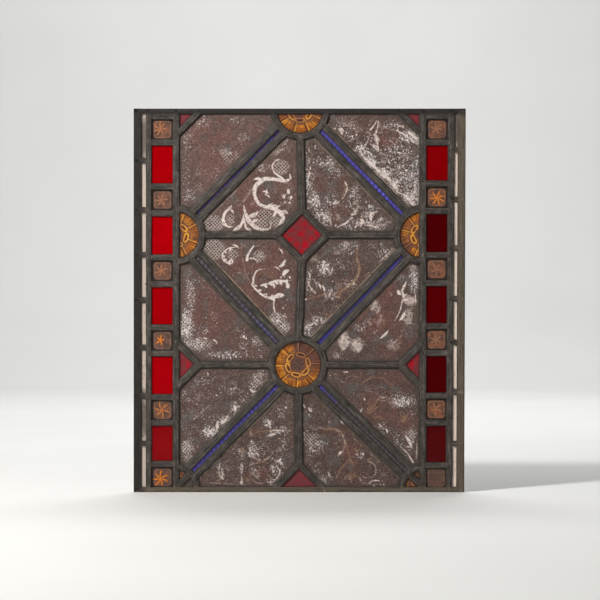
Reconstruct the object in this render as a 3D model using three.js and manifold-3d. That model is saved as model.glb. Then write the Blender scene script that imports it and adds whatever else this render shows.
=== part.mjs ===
// A leaded light: one panel of painted and coloured glass held in soldered lead cames.
// Millimetres, +Z up. The front faces -Y. The origin is the middle of the bottom edge,
// halfway through the panel's thickness. Every piece of glass is cut from one sheet
// along the cames' hearts, so each lies in its channel with the same play all round.
import * as THREE from "three";
import { mergeVertices } from "three/addons/utils/BufferGeometryUtils.js";
import Module from "manifold-3d";

const wasm = await Module();
wasm.setup();

// ---- Driving dimensions -------------------------------------------------------------
const WIDTH = 498;
const HEIGHT = 575;
const GLASS_THICK = 3;
const PLAY = 0.3; // between glass and lead, on every side
const HEART_THICK = 1.6; // the web of a came
const CHANNEL = GLASS_THICK + 2 * PLAY; // from leaf to leaf
const CROWN = 1.7; // leaf thickness along the middle
const BEVEL = 2.2; // the leaf thins out over this width to each edge

// Face widths of the cames
const SIDE_FACE = 12; // the two sides of the panel
const END_FACE = 8; // its top and bottom
const SIDE_WALL = 5; // closed outer wall of the side cames
const END_WALL = 3;
const FIELD_FACE = { left: 10.4, right: 10.8 }; // the long upright beside the field
const FILLET_FACE = { left: 8.6, right: 10.4 }; // the long upright beside the white fillet
const RUNG_FACE = 9.8; // between the border quarries
const STRAP_FACE = 8.6; // over the joints of the white fillet
const LEVEL_FACE = 10; // levels in the field
const UPRIGHT_FACE = 12; // uprights in the field
const LATTICE_FACE = 10.6; // the double diagonals
const DIAMOND_FACE = { left: 10.8, middle: 9.6, right: 12 };
const RING_FACE = 10;

// The panel was leaded by eye and is out of square: its right side leans in at the foot.
// Each upright is given by how far it is from the middle at its foot and at its head.
const LEAN = 2.4;
const FIELD_LINE = { left: [185.4, 185.4], right: [184.6, 184.6] };
const BORDER_LINE = { left: [226.3, 226.3], right: [223.6, 227.4] };

// Heights of the rungs, under and over each ruby in turn, and of the straps
const RUNGS = {
  left: [42, 104, 142, 208, 246.5, 312, 351.5, 418, 458, 524],
  right: [40, 104, 144.5, 208.5, 248.5, 313.5, 355, 421.5, 462.5, 524],
};
const TOP_RUNG = 563.4;
const STRAPS = {
  left: [73, 144.5, 217, 288, 356, 423, 497],
  right: [73, 150, 224.5, 290, 366, 439, 513],
};

// The field: roundels and diamonds take turns on a lattice of three columns and four rows
const ROWS = [7, 191, 385.4, 573];
const DRIFT = [-1, -2.6, 3, 0.5]; // how far the middle column wanders from the centre line
const LATTICE_SPLIT = 8.3; // each came of a double diagonal lies this far from its line
const RING_R = 39.5; // middle of the came round a roundel
const CORNER_RING_R = 31;
const RING_SIDES = 24;
const DIAMOND_R = 38; // half-diagonal of a diamond, to the middle of its cames
const HALF_DIAMOND_R = 34.6; // the ones cut by the sides
const BASE_DIAMOND_R = 40.1; // the one that stands in the bottom came

const TIDY = 0.01; // edges shorter than this are closed up after joining

// ---- Solids ---------------------------------------------------------------------------
function solid(geometry) {
  const bare = geometry.clone();
  bare.deleteAttribute("normal");
  bare.deleteAttribute("uv");
  const merged = mergeVertices(bare, 1e-4);
  return new wasm.Manifold(
    new wasm.Mesh({
      numProp: 3,
      vertProperties: new Float32Array(merged.attributes.position.array),
      triVerts: new Uint32Array(merged.index.array),
    }),
  );
}

function geometryOf(body) {
  const mesh = body.getMesh();
  const geometry = new THREE.BufferGeometry();
  geometry.setAttribute("position", new THREE.BufferAttribute(mesh.vertProperties, 3));
  geometry.setIndex(new THREE.BufferAttribute(mesh.triVerts, 1));
  geometry.computeVertexNormals();
  return geometry;
}

const joined = (bodies) => bodies.reduce((sum, body) => sum.add(body));

function block(x0, x1, y0, y1, z0, z1) {
  const geometry = new THREE.BoxGeometry(x1 - x0, y1 - y0, z1 - z0);
  geometry.translate((x0 + x1) / 2, (y0 + y1) / 2, (z0 + z1) / 2);
  return solid(geometry);
}

// A plate between y = -depth and y = depth, on four corners of the front.
function plate(corners, depth) {
  const shape = new THREE.Shape(corners.map(([x, z]) => new THREE.Vector2(x, z)));
  const geometry = new THREE.ExtrudeGeometry(shape, { depth: 2 * depth, bevelEnabled: false });
  geometry.rotateX(Math.PI / 2);
  return solid(geometry.translate(0, depth, 0));
}

// ---- Sections: lists of [across, through] points, counter-clockwise --------------------
const HALF_CHANNEL = CHANNEL / 2;

// A leaf above the channel, from its right edge to its left edge.
function leaf(face) {
  const half = face / 2;
  return [
    [half, HALF_CHANNEL],
    [half - BEVEL, HALF_CHANNEL + CROWN],
    [BEVEL - half, HALF_CHANNEL + CROWN],
    [-half, HALF_CHANNEL],
  ];
}

const turned = (points) => points.map(([across, through]) => [-across, -through]);

// The usual came: two leaves on a thin heart.
function cameSection(face) {
  const heart = HEART_THICK / 2;
  const upper = [[heart, HALF_CHANNEL], ...leaf(face), [-heart, HALF_CHANNEL]];
  return [[...upper, ...turned(upper)]];
}

// Two leaves with no heart, for the straps that lap over the white fillet.
const strapSection = (face) => [leaf(face), turned(leaf(face))];

// The edge came: two leaves on a closed outer wall, which is on the negative side.
function edgeSection(face, wall) {
  const half = face / 2;
  const inside = wall - half;
  return [[[inside, -HALF_CHANNEL], [inside, HALF_CHANNEL], ...leaf(face), ...turned(leaf(face))]];
}

const heartSection = (half) => [
  [
    [half, -CHANNEL],
    [half, CHANNEL],
    [-half, CHANNEL],
    [-half, -CHANNEL],
  ],
];

// ---- Carrying a section along a line or round a ring -----------------------------------
function straight([x0, z0], [x1, z1], section) {
  const along = new THREE.Vector3(x1 - x0, 0, z1 - z0);
  const length = along.length();
  along.normalize();
  const through = new THREE.Vector3(0, 1, 0);
  const across = new THREE.Vector3().crossVectors(through, along);
  const place = new THREE.Matrix4().makeBasis(across, through, along).setPosition(x0, 0, z0);
  return joined(
    section.map((points) => {
      const shape = new THREE.Shape(points.map(([a, t]) => new THREE.Vector2(a, t)));
      const geometry = new THREE.ExtrudeGeometry(shape, { depth: length, bevelEnabled: false });
      return solid(geometry.applyMatrix4(place));
    }),
  );
}

function ring([x, z], radius, section) {
  return joined(
    section.map((points) => {
      const profile = [...points, points[0]].map(
        ([a, t]) => new THREE.Vector2(radius + a, t),
      );
      const geometry = new THREE.LatheGeometry(profile, RING_SIDES, Math.PI / RING_SIDES);
      const body = solid(geometry.translate(x, 0, z));
      return body;
    }),
  );
}

// ---- The lattice of the field ----------------------------------------------------------
const SIDES = { left: -1, right: 1 };

function alongUpright([foot, head], z) {
  return foot + ((head - foot) * z) / HEIGHT;
}

const fieldX = (name, z) => SIDES[name] * alongUpright(FIELD_LINE[name], z);
const borderX = (name, z) => SIDES[name] * alongUpright(BORDER_LINE[name], z);
const rightEdge = (z) => WIDTH / 2 - LEAN * (1 - z / HEIGHT);
const edgeX = (name, z) => (name === "left" ? -WIDTH / 2 : rightEdge(z));

function at(column, row) {
  const z = ROWS[row];
  if (column === 0) return [DRIFT[row], z];
  return [fieldX(column < 0 ? "left" : "right", z), z];
}

const ROUNDELS = {
  top: { centre: at(0, 3), radius: RING_R },
  left: { centre: at(-1, 2), radius: RING_R },
  right: { centre: at(1, 2), radius: RING_R },
  centre: { centre: at(0, 1), radius: RING_R },
  corner_left: { centre: at(-1, 0), radius: CORNER_RING_R },
  corner_right: { centre: at(1, 0), radius: CORNER_RING_R },
};

const DIAMONDS = {
  centre: { centre: at(0, 2), reach: DIAMOND_R },
  top_left: { centre: at(-1, 3), reach: DIAMOND_R },
  top_right: { centre: at(1, 3), reach: DIAMOND_R },
  left: { centre: at(-1, 1), reach: HALF_DIAMOND_R },
  right: { centre: at(1, 1), reach: HALF_DIAMOND_R },
  bottom: { centre: [DRIFT[0], END_WALL / 2], reach: BASE_DIAMOND_R },
};

// Each double diagonal joins two roundels, between an inner and an outer diamond.
const DIAGONALS = {
  upper_left: { ends: ["top", "left"], inner: "centre", outer: "top_left" },
  upper_right: { ends: ["top", "right"], inner: "centre", outer: "top_right" },
  middle_left: { ends: ["left", "centre"], inner: "centre", outer: "left" },
  middle_right: { ends: ["right", "centre"], inner: "centre", outer: "right" },
  lower_left: { ends: ["centre", "corner_left"], inner: "bottom", outer: "left" },
  lower_right: { ends: ["centre", "corner_right"], inner: "bottom", outer: "right" },
};

// The stems that join a roundel to a diamond.
const STEMS = [
  ["top", "centre"],
  ["centre", "centre"],
  ["centre", "bottom"],
  ["left", "centre"],
  ["right", "centre"],
  ["centre", "left"],
  ["centre", "right"],
];

const CAME_TOP = HEIGHT - END_WALL / 2; // the uprights end halfway through the edge's wall
const CAME_FOOT = END_WALL / 2;
const field = plate(
  [
    [fieldX("left", CAME_FOOT), CAME_FOOT],
    [fieldX("right", CAME_FOOT), CAME_FOOT],
    [fieldX("right", CAME_TOP), CAME_TOP],
    [fieldX("left", CAME_TOP), CAME_TOP],
  ],
  2 * CHANNEL,
);

function doubleLines({ ends }) {
  const [from, to] = ends.map((name) => ROUNDELS[name]);
  const [a, b] = [from, to].map(({ centre }) => new THREE.Vector2(...centre));
  const along = b.clone().sub(a).normalize();
  const across = new THREE.Vector2(-along.y, along.x);
  const back = ({ radius }) => Math.sqrt(radius ** 2 - LATTICE_SPLIT ** 2);
  return [-1, 1].map((side) => {
    const aside = across.clone().multiplyScalar(side * LATTICE_SPLIT);
    const start = a.clone().addScaledVector(along, back(from)).add(aside);
    const end = b.clone().addScaledVector(along, -back(to)).add(aside);
    return [start.toArray(), end.toArray()];
  });
}

function stemLine([roundel, diamond]) {
  const from = ROUNDELS[roundel];
  const to = DIAMONDS[diamond];
  const [a, b] = [from.centre, to.centre].map((centre) => new THREE.Vector2(...centre));
  const along = b.clone().sub(a).normalize();
  const level = Math.abs(along.x) > Math.abs(along.y);
  const tip = level ? [to.reach * -Math.sign(along.x), 0] : [0, to.reach * -Math.sign(along.y)];
  const start = a.addScaledVector(along, from.radius);
  return [start.toArray(), b.add(new THREE.Vector2(...tip)).toArray()];
}

// The sides of a diamond that lie in the field, as lines between its tips.
function diamondLines({ centre: [x, z], reach }) {
  const tips = [
    [x + reach, z],
    [x, z + reach],
    [x - reach, z],
    [x, z - reach],
  ];
  const inField = ([tx, tz]) => Math.abs(tx) <= FIELD_LINE.left[0] + 2 && tz >= 0 && tz <= HEIGHT;
  return tips
    .map((tip, i) => [tip, tips[(i + 1) % tips.length]])
    .filter((line) => line.every(inField));
}

// Every straight came as { line, face }.
function straightCames() {
  const cames = [];
  const put = (line, face) => cames.push({ line, face });
  for (const name of Object.keys(SIDES)) {
    const upright = (x) => [[x(name, CAME_FOOT), CAME_FOOT], [x(name, CAME_TOP), CAME_TOP]];
    put(upright(fieldX), FIELD_FACE[name]);
    put(upright(borderX), FILLET_FACE[name]);
    for (const z of [...RUNGS[name], TOP_RUNG])
      put([[fieldX(name, z), z], [borderX(name, z), z]], RUNG_FACE);
  }
  Object.values(DIAGONALS).forEach((d) => doubleLines(d).forEach((l) => put(l, LATTICE_FACE)));
  STEMS.forEach((stem) => {
    const [from, to] = stemLine(stem);
    put([from, to], Math.abs(from[0] - to[0]) > Math.abs(from[1] - to[1]) ? LEVEL_FACE : UPRIGHT_FACE);
  });
  for (const [name, diamond] of Object.entries(DIAMONDS))
    diamondLines(diamond).forEach((l) => put(l, DIAMOND_FACE[name] ?? DIAMOND_FACE.middle));
  for (const side of Object.values(SIDES)) {
    const split = CORNER_RING_R * Math.SQRT1_2;
    const [x, z] = at(side, 0);
    put([[x, z], [x - side * split, z + split]], DIAMOND_FACE.middle);
  }
  return cames;
}

// ---- Lead --------------------------------------------------------------------------------
function edgeCames() {
  const half = SIDE_FACE / 2;
  const z = END_FACE / 2;
  const side = edgeSection(SIDE_FACE, SIDE_WALL);
  const end = edgeSection(END_FACE, END_WALL);
  return [
    straight([half - WIDTH / 2, 0], [half - WIDTH / 2, HEIGHT], side),
    straight([rightEdge(HEIGHT) - half, HEIGHT], [rightEdge(0) - half, 0], side),
    straight([rightEdge(0) - BEVEL, z], [BEVEL - WIDTH / 2, z], end),
    straight([BEVEL - WIDTH / 2, HEIGHT - z], [rightEdge(HEIGHT) - BEVEL, HEIGHT - z], end),
  ];
}

const straps = () =>
  Object.entries(SIDES).flatMap(([name, side]) =>
    STRAPS[name].map((z) => {
      const outer = edgeX(name, z) - (side * SIDE_WALL) / 2;
      return straight([borderX(name, z), z], [outer, z], strapSection(STRAP_FACE));
    }),
  );

// Lead packed between the top rung and the edge came, where there is no room for glass.
function packing(name, depth) {
  const ends = [fieldX(name, HEIGHT), borderX(name, HEIGHT)];
  return block(Math.min(...ends), Math.max(...ends), -depth, depth, TOP_RUNG, CAME_TOP);
}

// Everything in the field that follows a section round a ring, kept to the field.
const rings = (section) =>
  Object.values(ROUNDELS).map(({ centre, radius }) => ring(centre, radius, section));

function leadNet(cames) {
  const bars = cames.map(({ line, face }) => straight(...line, cameSection(face)));
  const hoops = joined(rings(cameSection(RING_FACE))).intersect(field);
  const packs = Object.keys(SIDES).map((name) => packing(name, HALF_CHANNEL + CROWN));
  const net = joined([...edgeCames(), ...bars, hoops, ...straps(), ...packs]);
  return net.intersect(block(-WIDTH, WIDTH, -HEIGHT, HEIGHT, 0, HEIGHT)).simplify(TIDY);
}

// ---- Glass: one sheet, cut along every heart ---------------------------------------------
function cutSheet(cames) {
  const side = SIDE_WALL + PLAY;
  const end = END_WALL + PLAY;
  const corners = [
    [side - WIDTH / 2, end],
    [rightEdge(end) - side, end],
    [rightEdge(HEIGHT - end) - side, HEIGHT - end],
    [side - WIDTH / 2, HEIGHT - end],
  ];
  const sheet = plate(corners, GLASS_THICK / 2);
  const section = heartSection(HEART_THICK / 2 + PLAY);
  const bars = cames.map(({ line }) => straight(...line, section));
  const hoops = joined(rings(section)).intersect(field);
  const packs = Object.keys(SIDES).map((name) => packing(name, CHANNEL));
  return sheet.subtract(joined([...bars, hoops, ...packs])).decompose();
}

const middle = (...points) => [
  points.reduce((sum, [x]) => sum + x, 0) / points.length,
  points.reduce((sum, [, z]) => sum + z, 0) / points.length,
];

// Name, a point inside the piece, and its glass.
function pieceList() {
  const pieces = [];
  const put = (name, [x, z], glass) => pieces.push({ name, x, z, glass });
  for (const [name, { ends, inner, outer }] of Object.entries(DIAGONALS)) {
    const centres = ends.map((end) => ROUNDELS[end].centre);
    put(`pane_${name}_inner`, middle(...centres, DIAMONDS[inner].centre), "grisaille");
    put(`pane_${name}_outer`, middle(...centres, DIAMONDS[outer].centre), "grisaille");
    put(`blue_fillet_${name}`, middle(...centres), "blue");
  }
  const inwards = ([x, z], step) => [
    Math.abs(x) > WIDTH / 4 ? x - Math.sign(x) * step : x,
    z + (z < HEIGHT / 4 ? step : z > HEIGHT * 0.9 ? -step : 0),
  ];
  for (const [name, { centre }] of Object.entries(DIAMONDS))
    put(`ruby_diamond_${name}`, inwards(centre, HALF_DIAMOND_R / 4), "diapered_ruby");
  for (const [name, { centre, radius }] of Object.entries(ROUNDELS)) {
    if (radius === RING_R) {
      put(`roundel_${name}`, inwards(centre, RING_R / 3), "amber");
      continue;
    }
    const side = Math.sign(centre[0]);
    const [near, far] = [0.35 * radius, 0.75 * radius];
    put(`roundel_${name}_upper`, [centre[0] - side * near, centre[1] + far], "amber");
    put(`roundel_${name}_lower`, [centre[0] - side * far, centre[1] + near], "amber");
  }
  for (const name of Object.keys(SIDES)) {
    const stops = [0, ...RUNGS[name], TOP_RUNG];
    for (let i = 1; i < stops.length; i++) {
      const z = (stops[i - 1] + stops[i]) / 2;
      const place = [(fieldX(name, z) + borderX(name, z)) / 2, z];
      if (i % 2) put(`flower_quarry_${name}_${(i + 1) / 2}`, place, "stained");
      else put(`ruby_${name}_${i / 2}`, place, "ruby");
    }
    const z = HEIGHT / 2;
    put(`white_fillet_${name}`, [(borderX(name, z) + edgeX(name, z)) / 2, z], "white");
  }
  return pieces;
}

// ---- Materials -----------------------------------------------------------------------------
const finish = (color, roughness, metalness, opacity = 1) =>
  new THREE.MeshStandardMaterial({
    color,
    roughness,
    metalness,
    opacity,
    transparent: opacity < 1,
  });

const FINISHES = {
  lead: finish(0x4b4943, 0.6, 0.4),
  grisaille: finish(0x66544f, 0.55, 0),
  ruby: finish(0xa0000f, 0.15, 0, 0.9),
  diapered_ruby: finish(0x99303c, 0.35, 0),
  amber: finish(0xc37a22, 0.35, 0),
  stained: finish(0x7a5240, 0.4, 0),
  blue: finish(0x4a43a8, 0.25, 0),
  white: finish(0xe3d5cb, 0.4, 0),
};

// ---- The panel -------------------------------------------------------------------------------
const panel = new THREE.Group();

function addPiece(name, body, material) {
  const mesh = new THREE.Mesh(geometryOf(body), material);
  mesh.name = name;
  panel.add(mesh);
}

const cames = straightCames();
addPiece("lead_cames", leadNet(cames), FINISHES.lead);

const cut = cutSheet(cames);
for (const { name, x, z, glass } of pieceList()) {
  const probe = block(x - 1, x + 1, -1, 1, z - 1, z + 1);
  const body = cut.find((piece) => piece.intersect(probe).volume() > 0);
  if (!body) throw new Error(`no glass at ${name}`);
  addPiece(name, body, FINISHES[glass]);
}

export default panel;
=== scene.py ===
import bpy
import numpy as np
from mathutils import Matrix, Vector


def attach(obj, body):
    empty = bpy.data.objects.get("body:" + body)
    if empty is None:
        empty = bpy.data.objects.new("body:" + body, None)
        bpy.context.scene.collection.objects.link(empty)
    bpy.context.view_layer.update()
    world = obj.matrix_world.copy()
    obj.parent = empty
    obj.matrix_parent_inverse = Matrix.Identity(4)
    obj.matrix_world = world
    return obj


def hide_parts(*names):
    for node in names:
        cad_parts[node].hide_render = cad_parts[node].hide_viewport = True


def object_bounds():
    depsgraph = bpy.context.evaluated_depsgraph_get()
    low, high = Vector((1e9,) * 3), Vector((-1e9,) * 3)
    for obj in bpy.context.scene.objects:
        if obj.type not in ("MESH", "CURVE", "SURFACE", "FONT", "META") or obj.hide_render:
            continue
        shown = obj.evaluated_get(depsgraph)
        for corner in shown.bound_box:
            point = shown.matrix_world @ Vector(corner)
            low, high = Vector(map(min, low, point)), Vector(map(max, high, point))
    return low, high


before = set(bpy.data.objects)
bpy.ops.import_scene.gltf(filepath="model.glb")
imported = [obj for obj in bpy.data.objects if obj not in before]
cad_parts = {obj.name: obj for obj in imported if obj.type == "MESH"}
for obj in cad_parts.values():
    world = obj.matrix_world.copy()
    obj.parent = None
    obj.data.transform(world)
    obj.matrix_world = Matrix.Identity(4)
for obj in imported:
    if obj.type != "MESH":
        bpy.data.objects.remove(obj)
cad_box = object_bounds()


# ---- Where the panel stands -------------------------------------------------------------
# The panel stands upright on a pale floor that turns up into a pale wall. A lamp high on the
# left rakes across the leads, two wide ones in front fill the shadows, and two behind light
# the wall and the panel's back.
class Wire:
    """A shader socket that takes arithmetic: an expression on it adds its Math nodes."""

    def __init__(self, tree, socket=None):
        self.tree = tree
        self.socket = socket

    def node(self, kind, settings=(), inputs=(), out=0):
        """Adds a node, sets it up, fills its sockets with values or wires, gives one output."""
        made = self.tree.nodes.new("ShaderNode" + kind)
        for name, value in dict(settings).items():
            setattr(made, name, value)
        for name, value in dict(inputs).items():
            fill(made.inputs[name], value)
        return Wire(self.tree, made.outputs[out])

    def maths(self, operation, *values):
        return self.node("Math", {"operation": operation}, dict(enumerate(values)))

    def __add__(self, other):
        return self.maths("ADD", self, other)

    def __sub__(self, other):
        return self.maths("SUBTRACT", self, other)

    def __rsub__(self, other):
        return self.maths("SUBTRACT", other, self)

    def __mul__(self, other):
        return self.maths("MULTIPLY", self, other)

    __radd__ = __add__
    __rmul__ = __mul__

    def rise(self, low, high):
        """0 below low, 1 above high, and a soft step between."""
        inputs = {"Value": self, "From Min": low, "From Max": high}
        return self.node("MapRange", {"interpolation_type": "SMOOTHSTEP"}, inputs)

    def between(self, amount, low, high):
        """A colour from low to high by an amount from 0 to 1."""
        return self.node("Mix", {"data_type": "RGBA"}, {0: amount, 6: low, 7: high}, 2)

    def tinted(self, amount, colour):
        """This colour, turned towards another by an amount from 0 to 1."""
        return self.between(amount, self, colour)

    def mottle(self, place, size, detail=2.0, rough=0.5, shift=0.0):
        """Cloudy variation about 0.5, with clouds of the given size in millimetres."""
        inputs = {"Vector": place, "W": shift, "Scale": 1 / size, "Detail": detail, "Roughness": rough}
        return self.node("TexNoise", {"noise_dimensions": "4D"}, inputs)

    def marks(self, *names):
        """Wires that carry a mesh's marks, one for each name."""
        return [self.node("Attribute", {"attribute_name": name}, out="Fac") for name in names]


def fill(socket, value):
    """Puts a value on a socket, or joins a wire to it."""
    if isinstance(value, Wire):
        value.tree.links.new(value.socket, socket)
    else:
        socket.default_value = value


def put(shader, **sockets):
    """Fills sockets of a shader by name, with a line for a space."""
    for name, value in sockets.items():
        fill(shader.inputs[name.replace("_", " ")], value)


def dye(red, green, blue):
    """A colour mixed in steps of 0 to 255, as the linear values that a shader takes."""
    steps = np.array([red, green, blue]) / 255
    linear = np.where(steps <= 0.04045, steps / 12.92, ((steps + 0.055) / 1.055) ** 2.4)
    return (*linear.tolist(), 1.0)


def begin(name):
    """A new material: its first wire, its place in millimetres and its empty Principled shader."""
    material = bpy.data.materials.new(name)
    material.use_nodes = True
    start = Wire(material.node_tree)
    where = start.node("TexCoord", out="Object")
    place = start.node("VectorMath", {"operation": "SCALE"}, {0: where, "Scale": 1000.0})
    return material, start, place, material.node_tree.nodes["Principled BSDF"]


def cells(rows, columns, wrap=False):
    """Faces of a grid: each joins a point to its neighbours; wrap closes the columns."""
    i, j = np.meshgrid(
        np.arange(rows - 1), np.arange(columns if wrap else columns - 1), indexing="ij"
    )
    k = (j + 1) % columns
    corners = (i * columns + j, i * columns + k, (i + 1) * columns + k, (i + 1) * columns + j)
    return np.stack([corner.ravel() for corner in corners], axis=1)


def piece(name, points, faces, material, marks=()):
    """A mesh object at the origin from points in metres, faces and per-point marks."""
    mesh = bpy.data.meshes.new(name)
    mesh.from_pydata(points, [], faces)
    mesh.shade_smooth()
    for mark, values in dict(marks).items():
        mesh.attributes.new(mark, "FLOAT", "POINT").data.foreach_set("value", values)
    mesh.materials.append(material)
    made = bpy.data.objects.new(name, mesh)
    bpy.context.scene.collection.objects.link(made)
    return made


TURN_RADIUS = 1.4
WALL_PLACE = 4.8


def cove():
    """Level floor, a quarter turn up, then an upright wall, carried across. In metres."""
    turn = np.linspace(0, np.pi / 2, 24)
    y = np.concatenate([[-5.0, -1.0, 1.0], WALL_PLACE - TURN_RADIUS * (1 - np.sin(turn)), [WALL_PLACE]])
    z = np.concatenate([[0.0, 0.0, 0.0], TURN_RADIUS * (1 - np.cos(turn)), [5.0]])
    x = np.linspace(-6, 6, 9)
    across, along = np.meshgrid(x, np.arange(len(y)), indexing="ij")
    points = np.stack([across, y[along], z[along]], axis=-1).reshape(-1, 3)
    return points, cells(len(x), len(y))[:, ::-1]


material, start, place, shader = begin("pale studio paper")
paper = start.between(start.mottle(place, 400.0), dye(226, 226, 224), dye(216, 216, 214))
put(shader, Base_Color=paper, Roughness=start.mottle(place, 3.0) * 0.1 + 0.8)
points, faces = cove()
piece("studio_paper", points, faces.tolist(), material)


def lamp(name, place, aim, size, power, colour=(1.0, 1.0, 1.0)):
    """A square area lamp at a place, turned to face the aim."""
    data = bpy.data.lights.new(name, "AREA")
    data.size = size
    data.energy = power
    data.color = colour
    made = bpy.data.objects.new(name, data)
    way = np.subtract(aim, place)
    flat = np.hypot(way[0], way[1])
    made.rotation_euler = (np.arctan2(flat, -way[2]), 0, np.arctan2(-way[0], way[1]))
    made.location = place
    bpy.context.scene.collection.objects.link(made)


EYE_LEVEL = 0.288
MIDDLE = (0.0, 0.0, EYE_LEVEL)
COOL = (0.98, 0.99, 1.0)
lamp("key_lamp", (-1.3, -1.25, 1.9), MIDDLE, 0.3, 62, (1.0, 0.98, 0.95))
lamp("left_fill_lamp", (-2.6, -1.8, 0.9), MIDDLE, 1.2, 10, COOL)
lamp("right_fill_lamp", (2.6, -1.8, 0.9), MIDDLE, 1.2, 8, COOL)
lamp("wall_lamp", (0.0, 1.9, 3.2), (0.0, 3.6, 0.2), 2.2, 112)
lamp("back_lamp", (1.6, 2.4, 2.2), MIDDLE, 1.0, 8)

world = bpy.data.worlds.new("studio")
world.use_nodes = True
put(world.node_tree.nodes["Background"], Color=(0.9, 0.92, 0.95, 1), Strength=0.07)
bpy.context.scene.world = world
bpy.context.scene.view_settings.view_transform = "Standard"

lens = bpy.data.cameras.new("camera")
lens.sensor_width = 36
lens.lens = 120
camera = bpy.data.objects.new("camera", lens)
camera.location = (0.0004, -3.0, EYE_LEVEL)
camera.rotation_euler = (np.pi / 2, 0, 0)
bpy.context.scene.collection.objects.link(camera)
bpy.context.scene.camera = camera


# ---- Lead cames ------------------------------------------------------------------------
# Drawn lead strips of H section, with a crowned leaf over each face of the glass and a thin
# heart between. They are cut to length, bent round the roundels, laid up by eye and soldered
# wherever two meet. Sizes are in millimetres, in the panel's plane.
MM = 0.001
WIDTH, HEIGHT = [round((cad_box[1][i] - cad_box[0][i]) / MM) for i in (0, 2)]
SIDES = {"left": -1, "right": 1}
HALF_CHANNEL = 1.8  # from the middle of the glass to the inside of a leaf
HALF_HEART = 0.8
LIP = 0.5  # the leaf's thickness at its edges
CROWN = 0.9  # and how much more it has along the middle
SIDE_FACE, SIDE_WALL = 12.0, 5.0
END_FACE, END_WALL = 8.0, 3.0
RUNG_FACE = 9.8
STRAP_FACE = 8.6
DIAGONAL_FACE = 11.0
SPLIT_FACE = 9.6
RING_FACE = 10.0
LEVEL_FACE, UPRIGHT_FACE = 10.0, 12.0
PAIR_GAP = 8.3  # from a diagonal's middle line to each of its two cames
SPLIT_REACH = 21.9  # of the came that splits a corner roundel
STATION = 6.0  # spacing of the sections along a came
FIELD_LINE = {"left": (185.4, 185.4), "right": (184.6, 184.6)}
BORDER_LINE = {"left": (226.3, 226.3), "right": (223.6, 227.4)}
FIELD_FACE = {"left": 10.4, "right": 10.8}
BORDER_FACE = {"left": 8.6, "right": 10.4}
RUNGS = {
    "left": (42, 104, 142, 208, 246.5, 312, 351.5, 418, 458, 524, 563.4),
    "right": (40, 104, 144.5, 208.5, 248.5, 313.5, 355, 421.5, 462.5, 524, 563.4),
}
STRAPS = {
    "left": (73, 144.5, 217, 288, 356, 423, 497),
    "right": (73, 150, 224.5, 290, 366, 439, 513),
}
# Each roundel: its middle, the radius of its ring, and the angles between which that runs.
ROUNDELS = {
    "top": (0.5, 573.0, 39.5, 180, 360),
    "left": (-185.4, 385.4, 39.5, -90, 90),
    "right": (184.6, 385.4, 39.5, 90, 270),
    "centre": (-2.6, 191.0, 39.5, 0, 360),
    "corner_left": (-185.4, 7.0, 31.0, -9, 90),
    "corner_right": (184.6, 7.0, 31.0, 90, 189),
}
# Each diamond: its middle, its reach to a tip, and the face of its cames.
DIAMONDS = {
    "centre": (3.0, 385.4, 38.0, 9.6),
    "top_left": (-185.4, 573.0, 38.0, 9.6),
    "top_right": (184.6, 573.0, 38.0, 9.6),
    "left": (-185.4, 191.0, 34.6, 10.8),
    "right": (184.6, 191.0, 34.6, 12.0),
    "bottom": (-1.0, 1.5, 40.1, 9.6),
}
# Each pair of diagonals: the roundels it joins, and how far its leaves lean apart.
DIAGONALS = (
    ("top", "left", 0.9), ("top", "right", 0.4), ("left", "centre", 0.4),
    ("right", "centre", 0.4), ("centre", "corner_left", 0.4), ("centre", "corner_right", 0.4),
)
# Each single stem: the roundel and the diamond it joins.
STEMS = (
    ("top", "centre"), ("centre", "centre"), ("centre", "bottom"), ("left", "centre"),
    ("right", "centre"), ("centre", "left"), ("centre", "right"),
)
rng = np.random.default_rng(7)


def leaf_line(face):
    """Half an ellipse over the leaf: across by the cosine, height by the sine of the angle."""
    angle = np.linspace(0, np.pi, 11)
    across = np.cos(angle) * face / 2
    through = HALF_CHANNEL + LIP + CROWN * np.sin(angle) ** 0.85
    return across, through


def came_section(face, lean=0.0):
    """The H of a came, once round: leaf, heart, leaf, heart. Columns are across and through.
    The front leaf may lean over to one side."""
    across, through = leaf_line(face)
    half = np.concatenate([[HALF_HEART, face / 2], across, [-face / 2, -HALF_HEART]])
    rise = np.concatenate([[HALF_CHANNEL] * 2, through, [HALF_CHANNEL] * 2])
    front = half + lean * (np.abs(half) > HALF_HEART)
    return np.stack([np.concatenate([front, -half]), np.concatenate([rise, -rise])], axis=1)


def edge_section(face, wall):
    """The U of the edge came: two leaves on a wall with rounded corners on its outer side."""
    across, through = leaf_line(face)
    inner = across > wall - face / 2
    corner = np.array([[1.4, 3.1], [0.5, 2.9], [0.1, 2.3]]) - (face / 2, 0)
    top = np.concatenate([np.stack([across[inner], through[inner]], axis=1), corner])
    tip, floor = face / 2, wall - face / 2
    mouth = [(tip, -HALF_CHANNEL), (floor, -HALF_CHANNEL), (floor, HALF_CHANNEL), (tip, HALF_CHANNEL)]
    return np.concatenate([top, top[::-1] * (1, -1), mouth])


def along(line):
    """Even stations on a straight line, its direction at each, and the run to each."""
    line = np.array(line, float)
    length = np.hypot(*(line[1] - line[0]))
    t = np.linspace(0, 1, max(3, int(length / STATION) + 1))[:, None]
    way = np.repeat([(line[1] - line[0]) / length], len(t), axis=0)
    return line[0] + (line[1] - line[0]) * t, way, np.linspace(0, length, len(t))


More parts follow.
